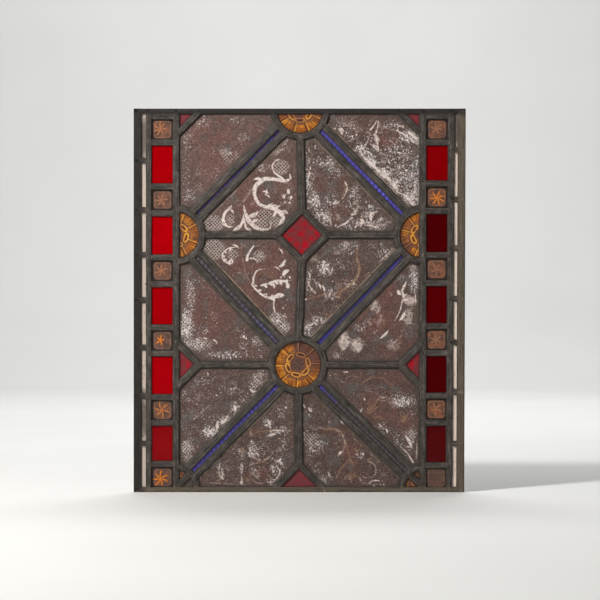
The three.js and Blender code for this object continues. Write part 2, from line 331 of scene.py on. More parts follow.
def round_arc(centre, radius, a0, a1):
    """Even stations on an arc from angle a0 to a1 in degrees, with the same three results."""
    angle = np.radians(np.linspace(a0, a1, max(8, int(abs(a1 - a0) / 3.75) + 1)))
    out = np.stack([np.cos(angle), np.sin(angle)], axis=1)
    way = np.stack([-np.sin(angle), np.cos(angle)], axis=1)
    return np.add(centre, radius * out), way, radius * np.abs(angle - angle[0])


def waver(run, size, swing):
    """A slow wander along a run: three sines of unlike length with chance starts."""
    starts = rng.uniform(0, 2 * np.pi, 3)
    waves = [
        np.sin(run / (size * share) * 2 * np.pi + begun) / (1 + i)
        for i, (share, begun) in enumerate(zip((1, 0.43, 0.19), starts))
    ]
    return swing * sum(waves) / 1.8


def drawn(path, section, loose=True):
    """A section carried along a path in the panel's plane: across lies right of the way.
    A loose came's width and line wander a little. Gives points, faces and marks."""
    centre, way, run = path
    across = np.stack([way[:, 1], -way[:, 0]], axis=1)
    swell = 1 + waver(run, 70, 0.03) if loose else np.ones(len(run))
    aside = waver(run, 110, 0.25) if loose else np.zeros(len(run))
    dent = 1 + waver(run, 35, 0.03)
    on_leaf = np.abs(section[:, 1]) > HALF_CHANNEL + 0.4
    a = section[:, 0] * swell[:, None] + aside[:, None]
    t = section[:, 1] * np.where(on_leaf, dent[:, None], 1.0)
    x = centre[:, :1] + across[:, :1] * a
    z = np.clip(centre[:, 1:] + across[:, 1:] * a, 0.1, HEIGHT - 0.1)
    points = np.stack([x, -t, z], axis=-1).reshape(-1, 3)
    half = np.abs(section[:, 0]).max()
    marks = {
        "edge": np.broadcast_to(np.abs(section[:, 0]) / half, a.shape).ravel(),
        "aside": np.broadcast_to(section[:, 0], a.shape).ravel(),
        "run": np.broadcast_to(run[:, None] + rng.uniform(0, 500), a.shape).ravel(),
    }
    return points, tube(*a.shape), marks


def tube(rows, columns):
    """Faces round a carried section, closed by a cap at each end."""
    caps = [list(range(columns)), list(range((rows - 1) * columns, rows * columns))[::-1]]
    return cells(rows, columns, wrap=True).tolist() + caps


def outward(points, faces):
    """The faces turned so that the solid they close has a volume above nothing."""
    fans = [(f[0], f[i], f[i + 1]) for f in faces if len(f) > 4 for i in range(1, len(f) - 1)]
    four = np.array([f for f in faces if len(f) == 4])
    flat = np.concatenate([four[:, [0, 1, 2]], four[:, [0, 2, 3]], np.array(fans).reshape(-1, 3)])
    a, b, c = points[flat[:, 0]], points[flat[:, 1]], points[flat[:, 2]]
    volume = np.einsum("ij,ij->i", a, np.cross(b, c)).sum()
    return faces if volume > 0 else [face[::-1] for face in faces]


def fitted(name, node, material, parts):
    """Several closed solids, made one piece that stands for a CAD node."""
    points, faces, marks, count = [], [], {}, 0
    for corners, sides, notes in parts:
        faces += [[v + count for v in side] for side in outward(corners, sides)]
        points.append(corners)
        count += len(corners)
        for mark, values in notes.items():
            marks.setdefault(mark, []).append(values)
    marks = {mark: np.concatenate(values) for mark, values in marks.items()}
    made = piece(name, np.concatenate(points) * MM, faces, material, marks)
    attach(made, "root")
    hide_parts(node)


def upright_x(side, lines, z):
    """Where an upright came stands at a height: on a straight line from its foot to its head."""
    foot, head = lines[side]
    return SIDES[side] * (foot + (head - foot) * z / HEIGHT)


def right_edge(z):
    """The panel's right edge at a height: it leans out from 2.4 short at the foot."""
    return WIDTH / 2 - 2.4 * (1 - z / HEIGHT)


cames = []  # each: its two ends, its face, and the lean of its front leaf if it has one
for side in SIDES:
    for lines, face in ((FIELD_LINE, FIELD_FACE), (BORDER_LINE, BORDER_FACE)):
        cames.append(([(upright_x(side, lines, z), z) for z in (1.5, HEIGHT - 1.5)], face[side]))
    for z in RUNGS[side]:
        cames.append(([(upright_x(side, lines, z), z) for lines in (FIELD_LINE, BORDER_LINE)], RUNG_FACE))
for first, last, lean in DIAGONALS:
    (x0, z0, r0, *_), (x1, z1, r1, *_) = ROUNDELS[first], ROUNDELS[last]
    way = np.array([x1 - x0, z1 - z0]) / np.hypot(x1 - x0, z1 - z0)
    beside = PAIR_GAP * np.array([-way[1], way[0]])
    low, high = [(x, z) + turn * way * np.sqrt(r * r - PAIR_GAP**2)
                 for x, z, r, turn in ((x0, z0, r0, 1), (x1, z1, r1, -1))]
    for side in SIDES.values():
        cames.append(([low + side * beside, high + side * beside], DIAGONAL_FACE, side * lean))
for first, last in STEMS:
    (x0, z0, radius, *_), (x1, z1, reach, _) = ROUNDELS[first], DIAMONDS[last]
    level = abs(x1 - x0) > abs(z1 - z0)
    turn = np.array([np.sign(x1 - x0), 0]) if level else np.array([0, np.sign(z1 - z0)])
    way = np.array([x1 - x0, z1 - z0]) / np.hypot(x1 - x0, z1 - z0)
    line = [(x0, z0) + way * radius, (x1, z1) - turn * reach]
    cames.append((line, LEVEL_FACE if level else UPRIGHT_FACE))
for x, z, reach, face in DIAMONDS.values():
    tips = [(x + reach, z), (x, z + reach), (x - reach, z), (x, z - reach)]
    for line in zip(tips, tips[1:] + tips[:1]):
        if all(abs(tip[0]) < 187.5 and 0 <= tip[1] <= HEIGHT for tip in line):
            cames.append((line, face))
for side, sign in SIDES.items():
    x, z = ROUNDELS["corner_" + side][:2]
    cames.append(([(x, z), (x - sign * SPLIT_REACH, z + SPLIT_REACH)], SPLIT_FACE))

leads = [drawn(along(line), came_section(face, *lean)) for line, face, *lean in cames]
for x, z, radius, a0, a1 in ROUNDELS.values():
    leads.append(drawn(round_arc((x, z), radius, a0, a1), came_section(RING_FACE)))
side_came, end_came = edge_section(SIDE_FACE, SIDE_WALL), edge_section(END_FACE, END_WALL)
SIDE_IN, END_IN, LAP = SIDE_FACE / 2, END_FACE / 2, 2.2
left, right_foot, right_head = -WIDTH / 2, right_edge(0), right_edge(HEIGHT)
for line, section in (
    ([(left + SIDE_IN, HEIGHT), (left + SIDE_IN, 0)], side_came),
    ([(right_foot - SIDE_IN, 0), (right_head - SIDE_IN, HEIGHT)], side_came),
    ([(left + LAP, END_IN), (right_foot - LAP, END_IN)], end_came),
    ([(right_head - LAP, HEIGHT - END_IN), (left + LAP, HEIGHT - END_IN)], end_came),
):
    leads.append(drawn(along(line), section * (-1, 1), loose=False))
for side, sign in SIDES.items():
    for z in STRAPS[side]:
        outer = sign * ((WIDTH / 2 if side == "left" else right_edge(z)) - 2.5)
        line = [(upright_x(side, BORDER_LINE, z), z), (outer, z)]
        leads.append(drawn(along(line), came_section(STRAP_FACE)))


def blob(spot, way, long, wide):
    """A pool of solder: rings of points about the joint at growing share of its outline, which
    is an oval with two slow bumps; the height falls away as the root of one less the share
    squared. The back is flat and buried in the cames."""
    share = np.array([0.05, 0.25, 0.45, 0.65, 0.8, 0.92, 1.0, 1.0])[:, None]
    angle = np.linspace(0, 2 * np.pi, 20, endpoint=False)
    bumps = 1 + 0.08 * np.sin(2 * angle + rng.uniform(0, 6)) + 0.07 * np.sin(3 * angle + rng.uniform(0, 6))
    u, v = long * bumps * np.cos(angle), wide * bumps * np.sin(angle)
    x = spot[0] + share * (way[0] * u + way[1] * v)
    z = spot[1] + share * (way[1] * u - way[0] * v)
    y = np.repeat(-2.35 - 1.1 * np.sqrt(1 - share**2), len(angle), axis=1)
    y[-1] = 1.0
    points = np.stack([x, y, z], axis=-1).reshape(-1, 3)
    marks = {"edge": np.full(len(points), 0.2), "aside": points[:, 0] * 0.4, "run": points[:, 2]}
    return points, tube(*x.shape), marks


for line, face, *_ in cames:
    line = np.array(line, float)
    way = (line[1] - line[0]) / np.hypot(*(line[1] - line[0]))
    for spot in (line[0] + way * 1.5, line[1] - way * 1.5):
        if 6 < spot[1] < HEIGHT - 6:
            leads.append(blob(spot, way, rng.uniform(4, 6), face * rng.uniform(0.42, 0.52)))


def bumped(height, distance):
    """Normals tilted by a height wire, which counts in units of distance (metres)."""
    return height.node("Bump", (), {"Height": height, "Distance": distance, "Strength": 1.0})


material, start, place, shader = begin("old lead")
edge, aside, run = start.marks("edge", "aside", "run")
drawn_way = start.node("CombineXYZ", (), {"X": aside, "Y": run * 0.05})
streaks = start.mottle(drawn_way, 1.3, 3.0, 0.65, 2.0)
clouds = start.mottle(place, 42.0, 3.0)
stains = start.mottle(place, 9.0, 4.0, 0.65, 3.1)
grit = start.mottle(place, 1.6, 3.0, 0.7, 5.0)
x, z = [start.node("SeparateXYZ", (), {"Vector": place}, axis) for axis in ("X", "Z")]
weathered = start.maths("MAXIMUM", x.rise(232.0, 240.0), 1 - z.rise(6.0, 12.0))
# painted shadow: the edge cames along the top and the left are darkened, as if a frame over the panel shaded
# them
painted_shadow_top_left = start.maths("MAXIMUM", 1 - x.rise(-242.0, -226.0), z.rise(560.0, 570.0))
colour = start.between(clouds.rise(0.35, 0.65), dye(60, 55, 48), dye(69, 60, 56))
colour = colour.tinted(stains.rise(0.48, 0.64) * 0.8, dye(36, 33, 28))
colour = colour.tinted(stains.rise(0.47, 0.32) * 0.6, dye(98, 90, 86))
colour = colour.tinted(weathered * (stains * 0.4 + 0.55), dye(102, 88, 70))
colour = colour.tinted(streaks.rise(0.5, 0.68) * 0.7, dye(116, 107, 99))
colour = colour.tinted(streaks.rise(0.47, 0.3) * 0.8, dye(38, 34, 30))
colour = colour.tinted(grit.rise(0.54, 0.75) * 0.6, dye(128, 118, 110))
colour = colour.tinted(grit.rise(0.45, 0.3) * 0.5, dye(36, 32, 29))
# painted shade: each leaf darkened towards both its edges, where it curves down to the glass
colour = colour.tinted(edge.rise(0.7, 0.95) * 0.85, dye(24, 21, 18))
# painted shadow on the edge cames along the top and the left
colour = colour.tinted(painted_shadow_top_left * 0.85, dye(26, 22, 18))
put(shader, Base_Color=colour, Metallic=0.15, Roughness=stains * 0.2 + 0.5, Specular_IOR_Level=0.4)
put(shader, Normal=bumped(grit * 0.5 + stains * 0.8 + streaks * 1.2, 0.0009))
fitted("lead_net", "lead_cames", material, leads)


# ---- Painted panes ----------------------------------------------------------------------
# Hand-blown sheet, cut to the shape of its opening, under a brown matt of iron pigment with
# scrolls, leaves and netting scratched out of it and fired. The front is a little wavy. Much
# of the matt has worn to white flecks or rusted.
FRONT, BACK = -0.75, 1.5  # the glass's two faces, clear of the leaves
FAR = 1e9


def outline(node):
    """Edges of a pane's front, as (x, z) pairs in millimetres: those of one triangle only."""
    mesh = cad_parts[node].data
    mesh.calc_loop_triangles()
    spots = np.empty(len(mesh.vertices) * 3)
    mesh.vertices.foreach_get("co", spots)
    spots = np.round(spots.reshape(-1, 3) * 1000, 3)
    corners = np.empty(len(mesh.loop_triangles) * 3, int)
    mesh.loop_triangles.foreach_get("vertices", corners)
    corners = corners.reshape(-1, 3)
    corners = corners[(spots[corners][:, :, 1] < -1.4).all(axis=1)]
    flat, same = np.unique(spots[:, [0, 2]], axis=0, return_inverse=True)
    corners = same.reshape(-1)[corners]
    sides = np.sort(np.concatenate([corners[:, [0, 1]], corners[:, [1, 2]], corners[:, [2, 0]]]), axis=1)
    sides, uses = np.unique(sides, axis=0, return_counts=True)
    return flat[sides[uses == 1]]


def rim_marks(flat, sides):
    """For each point of a pane: the distance to its nearest side (rim), how far that side faces up
    and to the left, which sets where the painted shadow of its lead falls (lee), and whether it
    is a long slanting one (slant)."""
    run = sides[:, 1] - sides[:, 0]
    t = ((flat[:, None] - sides[:, 0]) * run).sum(axis=2) / np.maximum((run**2).sum(axis=1), 1e-9)
    gap = flat[:, None] - sides[:, 0] - run * np.clip(t, 0, 1)[:, :, None]
    reach = np.hypot(gap[..., 0], gap[..., 1])
    nearest = reach.argmin(axis=1)
    rim = reach.min(axis=1)
    way = gap[np.arange(len(flat)), nearest] / np.maximum(rim, 0.01)[:, None]
    long = np.hypot(run[:, 0], run[:, 1])[nearest] > 60
    lee = way[:, 0] * 0.6 - way[:, 1] * 0.8
    return {"rim": rim, "lee": lee, "slant": long * np.abs(way[:, 0] * way[:, 1]) * 2}


def glass_sheet(node, step, low=-FAR, high=FAR, wave=0.12):
    """A closed section carried across the pane. At each x it climbs the front from the lower
    to the upper outline in even steps, bulging by slow sines, and drops down the flat back."""
    sides = outline(node)
    (xa, za), (xb, zb) = sides[:, 0].T, sides[:, 1].T
    stops = np.unique(np.round(np.concatenate([xa, xb]), 2))
    stops = stops[np.concatenate([[True], np.diff(stops) > 0.02])]
    spans = [
        np.linspace(p, q, max(1, int(np.ceil((q - p) / step))), endpoint=False)
        for p, q in zip(stops, stops[1:])
    ]
    x = np.concatenate([*spans, stops[-1:]])[:, None]
    inside = (x >= np.minimum(xa, xb) - 0.011) & (x <= np.maximum(xa, xb) + 0.011)
    upright = np.abs(xb - xa) < 0.02
    share = np.clip((x - xa) / np.where(upright, 1.0, xb - xa), 0, 1)
    level = za + (zb - za) * np.where(upright, 0.0, share)
    top = np.where(inside, np.where(upright, np.maximum(za, zb), level), -FAR).max(axis=1)
    foot = np.where(inside, np.where(upright, np.minimum(za, zb), level), FAR).min(axis=1)
    top, foot = np.minimum(top, high)[:, None], np.maximum(foot, low)[:, None]
    rows = max(4, int((top - foot).max() / step))
    z = foot + (top - foot) * np.linspace(0, 1, rows)
    across = np.broadcast_to(x, z.shape)
    phase = rng.uniform(0, 6.28, 4)
    ripple = np.sin(across / 17 + z / 29 + phase[0]) + np.sin(z / 13 - across / 31 + phase[1])
    back = np.full(x.shape, BACK)
    loops = [
        np.concatenate([across, x, x], axis=1),
        np.concatenate([FRONT + wave * 0.5 * ripple, back, back], axis=1),
        np.concatenate([z, top, foot], axis=1),
    ]
    points = np.stack(loops, axis=-1).reshape(-1, 3)
    return points, tube(len(x), rows + 2), rim_marks(points[:, [0, 2]], sides)


def bent(points):
    """A smooth line through points: between each two, the cubic that passes through both and
    leaves each along the chord of its neighbours."""
    points = np.array(points, float)
    before = np.concatenate([points[:1], points[:-2]])
    after = np.concatenate([points[2:], points[-1:]])
    t = np.linspace(0, 1, 7, endpoint=False)[None, :, None]
    a, b = points[:-1, None], points[1:, None]
    da, db = (b - before[:, None]) / 2, (after[:, None] - a) / 2
    curve = a + da * t + (3 * (b - a) - 2 * da - db) * t**2 + (2 * (a - b) + da + db) * t**3
    return np.concatenate([curve.reshape(-1, 2), points[-1:]])


def with_width(line, w0, w1, belly=0.0):
    """Adds a half-width to each point of a line: from w0 to w1, fuller by belly midway."""
    t = np.linspace(0, 1, len(line))
    return np.column_stack([line, w0 + (w1 - w0) * t + belly * np.sin(np.pi * t)])


def stem(w0, w1, *points):
    """A brush stroke through points whose half-width runs from w0 to w1."""
    return with_width(bent(points), w0, w1)


def curl(x, z, r0, r1, a0, a1, w0, w1=0.4):
    """Part of a spiral about (x, z): the radius runs from r0 to r1 as the angle turns."""
    angle = np.radians(np.linspace(a0, a1, max(6, int(abs(a1 - a0) / 14))))
    radius = np.linspace(r0, r1, len(angle))
    return with_width(np.column_stack([x + radius * np.cos(angle), z + radius * np.sin(angle)]), w0, w1)


def leaf(x0, z0, x1, z1, w=1.6, bend=0.15):
    """A leaf from base to tip: a bowed line, pointed at both ends and fullest midway."""
    t = np.linspace(0, 1, 9)
    bow = bend * np.sin(np.pi * t)
    x = x0 + (x1 - x0) * t - (z1 - z0) * bow
    z = z0 + (z1 - z0) * t + (x1 - x0) * bow
    return with_width(np.column_stack([x, z]), 0.15, 0.15, w)


def berry(x, z, r, tall=0.0):
    """A round dab of half-width r, drawn out upwards by tall."""
    return with_width(np.array([(x, z - tall), (x, z + tall + 0.01)]), r, r)


def fan(x, z, facing, reach, count=5, spread=100, w=1.1):
    """Leaves that spring from one point and spread evenly about the facing angle."""
    angles = np.radians(facing + np.linspace(-spread / 2, spread / 2, count))
    lengths = reach * (1 - 0.25 * np.abs(np.linspace(-1, 1, count)))
    ends = zip(x + lengths * np.cos(angles), z + lengths * np.sin(angles))
    return [leaf(x, z, ex, ez, w, 0.12) for ex, ez in ends]


def frond(w0, w1, lobes, reach, side, *points):
    """A stem with leaves that spring from it at even steps and lean along it: all to one side
    (1 or -1), or by turns to both when side is 0."""
    line = stem(w0, w1, *points)
    steps = np.linspace(0.12, 0.92, lobes) * (len(line) - 2)
    leaves = []
    for turn, step in enumerate(steps.astype(int)):
        x, z, w = line[step]
        way = line[step + 1, :2] - line[step, :2]
        way = way / max(np.hypot(*way), 1e-6)
        hand = side or (-1) ** turn
        tip = (x, z) + (way * 0.75 + np.array([-way[1], way[0]]) * 0.75 * hand) * (reach + w)
        leaves.append(leaf(x, z, *tip, 0.35 * reach, 0.15 * hand))
    return [line, *leaves]


def reach_to(strokes, x, z):
    """Millimetres from each point to the nearest stroke's edge, less than zero within one:
    the distance to each straight part of its line, less the half-width there."""
    nearest = np.full(x.shape, 9.0)
    for stroke in strokes:
        low, high = stroke[:, :2].min(axis=0) - 9, stroke[:, :2].max(axis=0) + 9
        near = (x > low[0]) & (x < high[0]) & (z > low[1]) & (z < high[1])
        spot = np.stack([x[near], z[near]], axis=1)[:, None]
        a, b = stroke[:-1], stroke[1:]
        run = b[:, :2] - a[:, :2]
        t = ((spot - a[:, :2]) * run).sum(axis=2) / np.maximum((run**2).sum(axis=1), 1e-6)
        t = np.clip(t, 0, 1)
        gap = spot - a[:, :2] - run * t[..., None]
        gap = np.hypot(gap[..., 0], gap[..., 1]) - a[:, 2] - (b[:, 2] - a[:, 2]) * t
        nearest[near] = np.minimum(nearest[near], gap.min(axis=1))
    return nearest


def patch(areas, x, z):
    """How deep each point lies in soft ovals (x, z, half-width, half-height, strength):
    full strength at the middle of one, fading as a root of the distance to its edge."""
    depth = np.zeros(x.shape)
    for cx, cz, rx, rz, strength in areas:
        away = ((x - cx) / rx) ** 2 + ((z - cz) / rz) ** 2
        depth = np.maximum(depth, strength * np.clip(1 - away / 1.6, 0, 1) ** 0.7)
    return depth


# For each pane: strokes scratched out clean (bright), half clean (faint) or gone brown (rusty),
# soft ovals of white flecks, netting, pale wash and red rust, and three amounts for the whole
# pane: how pale its matt is (tone), how speckled (grain), and how clear its slanting edge (line).
PAINTING = {}
PAINTING["upper_left_inner"] = {
    "bright": [
        stem(1.2, 1.8, (-31, 499), (-37, 496), (-41, 489), (-39, 481), (-33, 475), (-25, 470)),
        stem(1.0, 3.0, (-15, 477), (-14, 471), (-20, 467), (-28, 467)),
        stem(2.4, 3.6, (-26, 467), (-38, 469), (-50, 470), (-58, 467)),
        stem(3.6, 2.4, (-57, 467), (-65, 460), (-68, 450), (-66, 440), (-60, 431)),
        leaf(-56, 469, -70, 468, 2.0, -0.1),
        stem(2.4, 3.8, (-60, 431), (-52, 428), (-42, 426), (-33, 422), (-27, 416)),
        stem(3.6, 1.4, (-28, 416), (-24, 411), (-26, 403)), leaf(-30, 420, -17, 417, 2.4),
        leaf(-36, 424, -42, 412, 2.4), leaf(-28, 412, -33, 400, 2.6, 0.2),
        leaf(-50, 429, -40, 434, 1.8, -0.1), leaf(-38, 427, -28, 431, 1.6, -0.1),
        leaf(-46, 427, -32, 430, 1.4, 0.1),
        stem(1.8, 3.0, (-103, 428), (-111, 420), (-115, 410), (-113, 403)),
        stem(2.8, 1.0, (-113, 403), (-108, 398), (-101, 398)), leaf(-108, 424, -99, 417, 1.6, 0.2),
        stem(0.8, 3.6, (-84, 431), (-82, 420), (-77, 408)),
        stem(3.6, 2.2, (-77, 408), (-69, 399), (-60, 394), (-52, 393)),
        stem(2.0, 0.8, (-52, 393), (-45, 396), (-43, 404)), leaf(-80, 414, -62, 421, 3.4, -0.15),
        leaf(-72, 404, -62, 408, 2.4, 0.1), leaf(-84, 419, -93, 391, 1.9, 0.08),
        leaf(-83, 415, -78, 391, 1.9, -0.08), leaf(-89, 402, -102, 391, 2.6, 0.1),
        leaf(-82, 396, -72, 389, 2.0, 0.1), berry(-17, 451, 2.4, 1.8), berry(-24, 443, 2.2, 0.8),
        berry(-13, 442, 2.2, 0.6), berry(-22, 435, 1.9), berry(-15, 434, 1.9),
        leaf(-50, 456, -53, 444, 1.5), leaf(-58, 450, -46, 448, 1.3), leaf(-52, 446, -44, 440, 1.2),
    ],
    "faint": [
        stem(1.3, 1.0, (-67, 462), (-75, 449), (-84, 436)),
        stem(1.1, 0.8, (-72, 456), (-80, 444), (-88, 432)), leaf(-72, 452, -80, 456, 1.2),
        curl(-92, 433, 5, 3, 0, 360, 1.1), stem(0.8, 0.8, (-138, 409), (-116, 431), (-94, 453)),
        leaf(-60, 474, -72, 470, 1.2), curl(-107, 412, 4, 2, 0, 360, 0.7),
        stem(0.6, 0.6, (-8, 495), (-7, 475)), stem(0.7, 0.7, (-132, 392), (-80, 389), (-36, 390)),
        curl(-24, 508, 9, 3, 0, 400, 0.8), *fan(-34, 505, 120, 16, 7, 150, 1.0),
        curl(-27, 487, 11, 10, 120, -160, 0.9), curl(-58, 488, 8, 3, 300, 20, 0.8),
        *fan(-70, 428, 60, 12, 5, 120, 1.0), *fan(-34, 452, 150, 11, 5, 160, 0.8),
    ],
    "flecks": [
        (-28, 520, 14, 14, 0.7), (-56, 487, 12, 9, 0.7), (-18, 445, 12, 24, 0.5), (-90, 405, 40, 14, 0.4),
        (-27, 487, 12, 12, 0.4),
    ],
    "net": [
        (-129, 402, 14, 12, 1), (-52, 415, 10, 9, 1), (-38, 405, 8, 8, 1), (-57, 403, 9, 8, 0.9),
        (-27, 487, 11, 10, 0.8), (-104, 408, 6, 8, 0.6),
    ],
    "rust": [(-60, 450, 60, 60, 0.6), (-70, 425, 24, 20, 0.9)],
    "tone": (0.55, 0.55, 0.4),
}
PAINTING["upper_right_inner"] = {
    "bright": [
        stem(1.3, 0.9, (68, 465), (71, 457), (68, 446), (64, 440)), leaf(60, 437, 48, 433, 2.0),
        leaf(86, 427, 76, 415, 3.0), stem(2.0, 0.9, (78, 411), (70, 404), (60, 399)),
        leaf(117, 421, 108, 404, 3.0, -0.3), leaf(114, 406, 98, 407, 1.6), leaf(92, 414, 89, 395, 1.8),
        leaf(86, 408, 82, 395, 1.8), leaf(88, 410, 99, 398, 1.8), leaf(97, 399, 117, 394, 1.6),
        leaf(14, 484, 11, 470, 1.8), leaf(20, 447, 22, 430, 1.6), leaf(24, 440, 30, 427, 1.4),
        leaf(33, 418, 48, 397, 1.9),
    ],
    "faint": [
        *frond(0.8, 2.2, 6, 6, 0, (80, 458), (85, 448), (86, 432), (86, 418)),
        stem(1.2, 1.2, (87, 412), (84, 402), (88, 395)), *fan(60, 415, 200, 13, 5, 120, 1.3),
        *fan(100, 412, 100, 15, 6, 130, 1.4), curl(38, 455, 13, 8, 200, -20, 0.8),
        *fan(45, 487, 60, 15, 6, 150, 1.1), stem(0.6, 0.6, (30, 520), (45, 508), (60, 495)),
        *fan(24, 470, 110, 16, 5, 110, 1.1), stem(0.7, 0.7, (75, 475), (92, 460), (105, 445)),
        leaf(20, 505, 14, 520, 1.2), *fan(120, 398, 110, 13, 5, 120, 1.2),
    ],
    "rusty": [leaf(66, 468, 60, 438, 1.2)],
    "flecks": [
        (12, 465, 9, 40, 0.85), (34, 413, 16, 14, 0.95), (34, 494, 26, 9, 0.75), (22, 436, 9, 16, 0.9),
        (52, 480, 16, 10, 0.6), (18, 515, 12, 10, 0.45), (80, 440, 12, 22, 0.6), (105, 420, 14, 16, 0.6),
        (48, 438, 16, 14, 0.6), (90, 400, 40, 9, 0.6), (126, 405, 10, 10, 0.6),
    ],
    "net": [(120, 400, 12, 9, 0.5)],
    "wash": [(45, 508, 24, 9, 0.25), (86, 410, 10, 22, 0.3)],
    "rust": [(45, 462, 24, 14, 0.9), (60, 415, 20, 14, 0.7)],
    "tone": (0.15, 1.0, 0.5),
}
PAINTING["middle_left_inner"] = {
    "bright": [
        *frond(1.0, 1.6, 5, 4, 1, (-97, 367), (-108, 365), (-115, 358), (-116, 351), (-111, 345),
            (-102, 343)), leaf(-103, 371, -91, 365, 1.6), leaf(-104, 351, -101, 342, 1.6),
        leaf(-115, 346, -103, 338, 1.4),
        *frond(1.1, 2.4, 4, 5, 1, (-72, 311), (-67, 305), (-58, 297), (-49, 292), (-39, 290)),
        stem(1.2, 2.6, (-69, 369), (-75, 361), (-78, 354), (-79, 348)), curl(-70, 343, 8, 6, 115, -10, 1.5),
        leaf(-33, 366, -25, 355, 1.2), leaf(-21, 350, -33, 337, 2.6), leaf(-41, 338, -29, 331, 1.1),
        stem(0.9, 2.0, (-57, 334), (-64, 332), (-69, 323), (-70, 313)), leaf(-41, 315, -39, 304, 1.8),
        *frond(1.7, 2.2, 5, 5, -1, (-58, 310), (-49, 312), (-41, 315), (-33, 317), (-25, 316), (-19, 317)),
        leaf(-26, 323, -15, 333, 3.2), berry(-28, 322, 1.8), berry(-15, 322, 2.0),
        berry(-18, 309, 3.0, 1.0), leaf(-40, 291, -22, 295, 3.6, 0.1),
        stem(1.5, 1.0, (-38, 288), (-39, 280), (-37, 270), (-31, 265)), berry(-19, 288, 1.2),
        berry(-21, 280, 1.0), berry(-25, 276, 1.5), berry(-22, 267, 1.4), leaf(-28, 264, -19, 261, 1.8),
    ],
    "faint": [
        stem(1.2, 0.9, (-82, 371), (-86, 365), (-88, 360), (-86, 350), (-83, 338), (-81, 327), (-72, 311)),
        stem(0.9, 0.9, (-90, 371), (-87, 363)), curl(-60, 355, 15, 13, 130, -30, 0.9),
        curl(-52, 318, 17, 15, 110, -10, 0.8), curl(-92, 322, 9, 6, 170, 20, 0.9),
        curl(-106, 356, 5, 3, 0, 300, 0.8), *fan(-78, 322, 130, 13, 5, 120, 1.0),
        curl(-52, 318, 9, 4, 0, 330, 0.7), *fan(-60, 352, 60, 10, 5, 140, 1.0),
        leaf(-97, 329, -82, 322, 1.1), *fan(-14, 360, 150, 11, 4, 120, 0.9),
        curl(-30, 350, 6, 3, 0, 330, 0.6), *fan(-86, 366, 90, 9, 5, 150, 0.9),
    ],
    "rusty": [curl(-52, 318, 12, 12, 0, 180, 1.0)],
    "flecks": [
        (-34, 259, 12, 8, 0.8), (-23, 250, 9, 10, 0.8), (-60, 354, 8, 8, 0.5), (-106, 352, 10, 10, 0.4),
        (-24, 320, 14, 16, 0.4),
    ],
    "net": [
        (-129, 364, 15, 14, 1), (-36, 260, 9, 9, 0.9), (-24, 247, 9, 9, 0.9), (-100, 356, 8, 8, 0.7),
        (-60, 354, 9, 9, 0.8),
    ],
    "wash": [(-38, 292, 16, 5, 0.3)],
    "rust": [(-60, 320, 60, 60, 0.7), (-45, 325, 28, 18, 1.0), (-30, 360, 20, 16, 0.8)],
    "tone": (0.3, 0.45, 0.9),
}
PAINTING["middle_right_inner"] = {
    "bright": [
        leaf(11, 333, 14, 318, 1.4), stem(1.0, 1.8, (12, 316), (16, 307), (23, 299)),
        leaf(25, 316, 31, 302, 1.5), leaf(32, 311, 37, 299, 1.4), leaf(17, 322, 26, 303, 1.0),
        berry(9, 289, 2.0), berry(49, 316, 1.5), berry(48, 303, 1.6), berry(44, 294, 1.9),
        berry(49, 290, 1.3), berry(36, 343, 2.2), leaf(35, 338, 44, 329, 1.9), leaf(49, 340, 42, 324, 1.3),
        berry(34, 336, 1.4), berry(122, 372, 1.8), leaf(140, 365, 117, 343, 1.0, 0.0),
        leaf(14, 260, 38, 258, 0.8), leaf(6, 245, 26, 256, 1.6, 0.0),
    ],
    "faint": [
        leaf(60, 371, 76, 371, 3.0), leaf(59, 362, 75, 362, 3.2), leaf(49, 358, 61, 357, 3.0),
        leaf(72, 367, 80, 374, 2.0), curl(66, 333, 15, 13, 200, -60, 0.8), leaf(64, 331, 68, 339, 1.3),
        leaf(60, 337, 70, 331, 1.3), stem(0.9, 0.9, (88, 328), (86, 316)),
        curl(106, 352, 9, 3, 30, 420, 1.0), *fan(108, 366, 80, 9, 5, 160, 1.0),
        curl(30, 357, 11, 4, 60, 380, 0.8), *fan(24, 345, 100, 14, 6, 110, 1.2),
        leaf(76, 322, 66, 318, 1.4), *fan(60, 305, 120, 13, 5, 90, 1.0), berry(85, 310, 1.6),
        curl(25, 276, 13, 11, 200, 420, 0.8), leaf(48, 278, 60, 276, 1.0), leaf(99, 322, 106, 330, 1.2),
    ],
    "rusty": [
        stem(1.2, 1.4, (88, 368), (86, 360), (86, 349)),
        stem(2.2, 2.0, (86, 349), (89, 337), (87, 325), (78, 313), (68, 305)),
        stem(1.6, 1.0, (68, 305), (55, 298), (39, 297), (25, 293), (8, 289)), leaf(62, 300, 52, 291, 2.4),
        leaf(36, 268, 44, 262, 1.2),
    ],
    "flecks": [
        (36, 338, 10, 14, 0.95), (30, 257, 12, 7, 0.9), (12, 244, 9, 12, 0.9), (130, 356, 14, 12, 0.6),
        (74, 312, 12, 10, 0.6), (12, 318, 9, 24, 0.6), (70, 366, 22, 10, 0.5), (47, 297, 12, 10, 0.6),
        (60, 345, 14, 14, 0.35),
    ],
    "wash": [(67, 366, 12, 10, 0.5), (76, 314, 7, 8, 0.3)],
    "rust": [(75, 318, 16, 16, 0.4), (45, 296, 25, 9, 0.5)],
    "tone": (0.1, 1.0, 1.0),
}
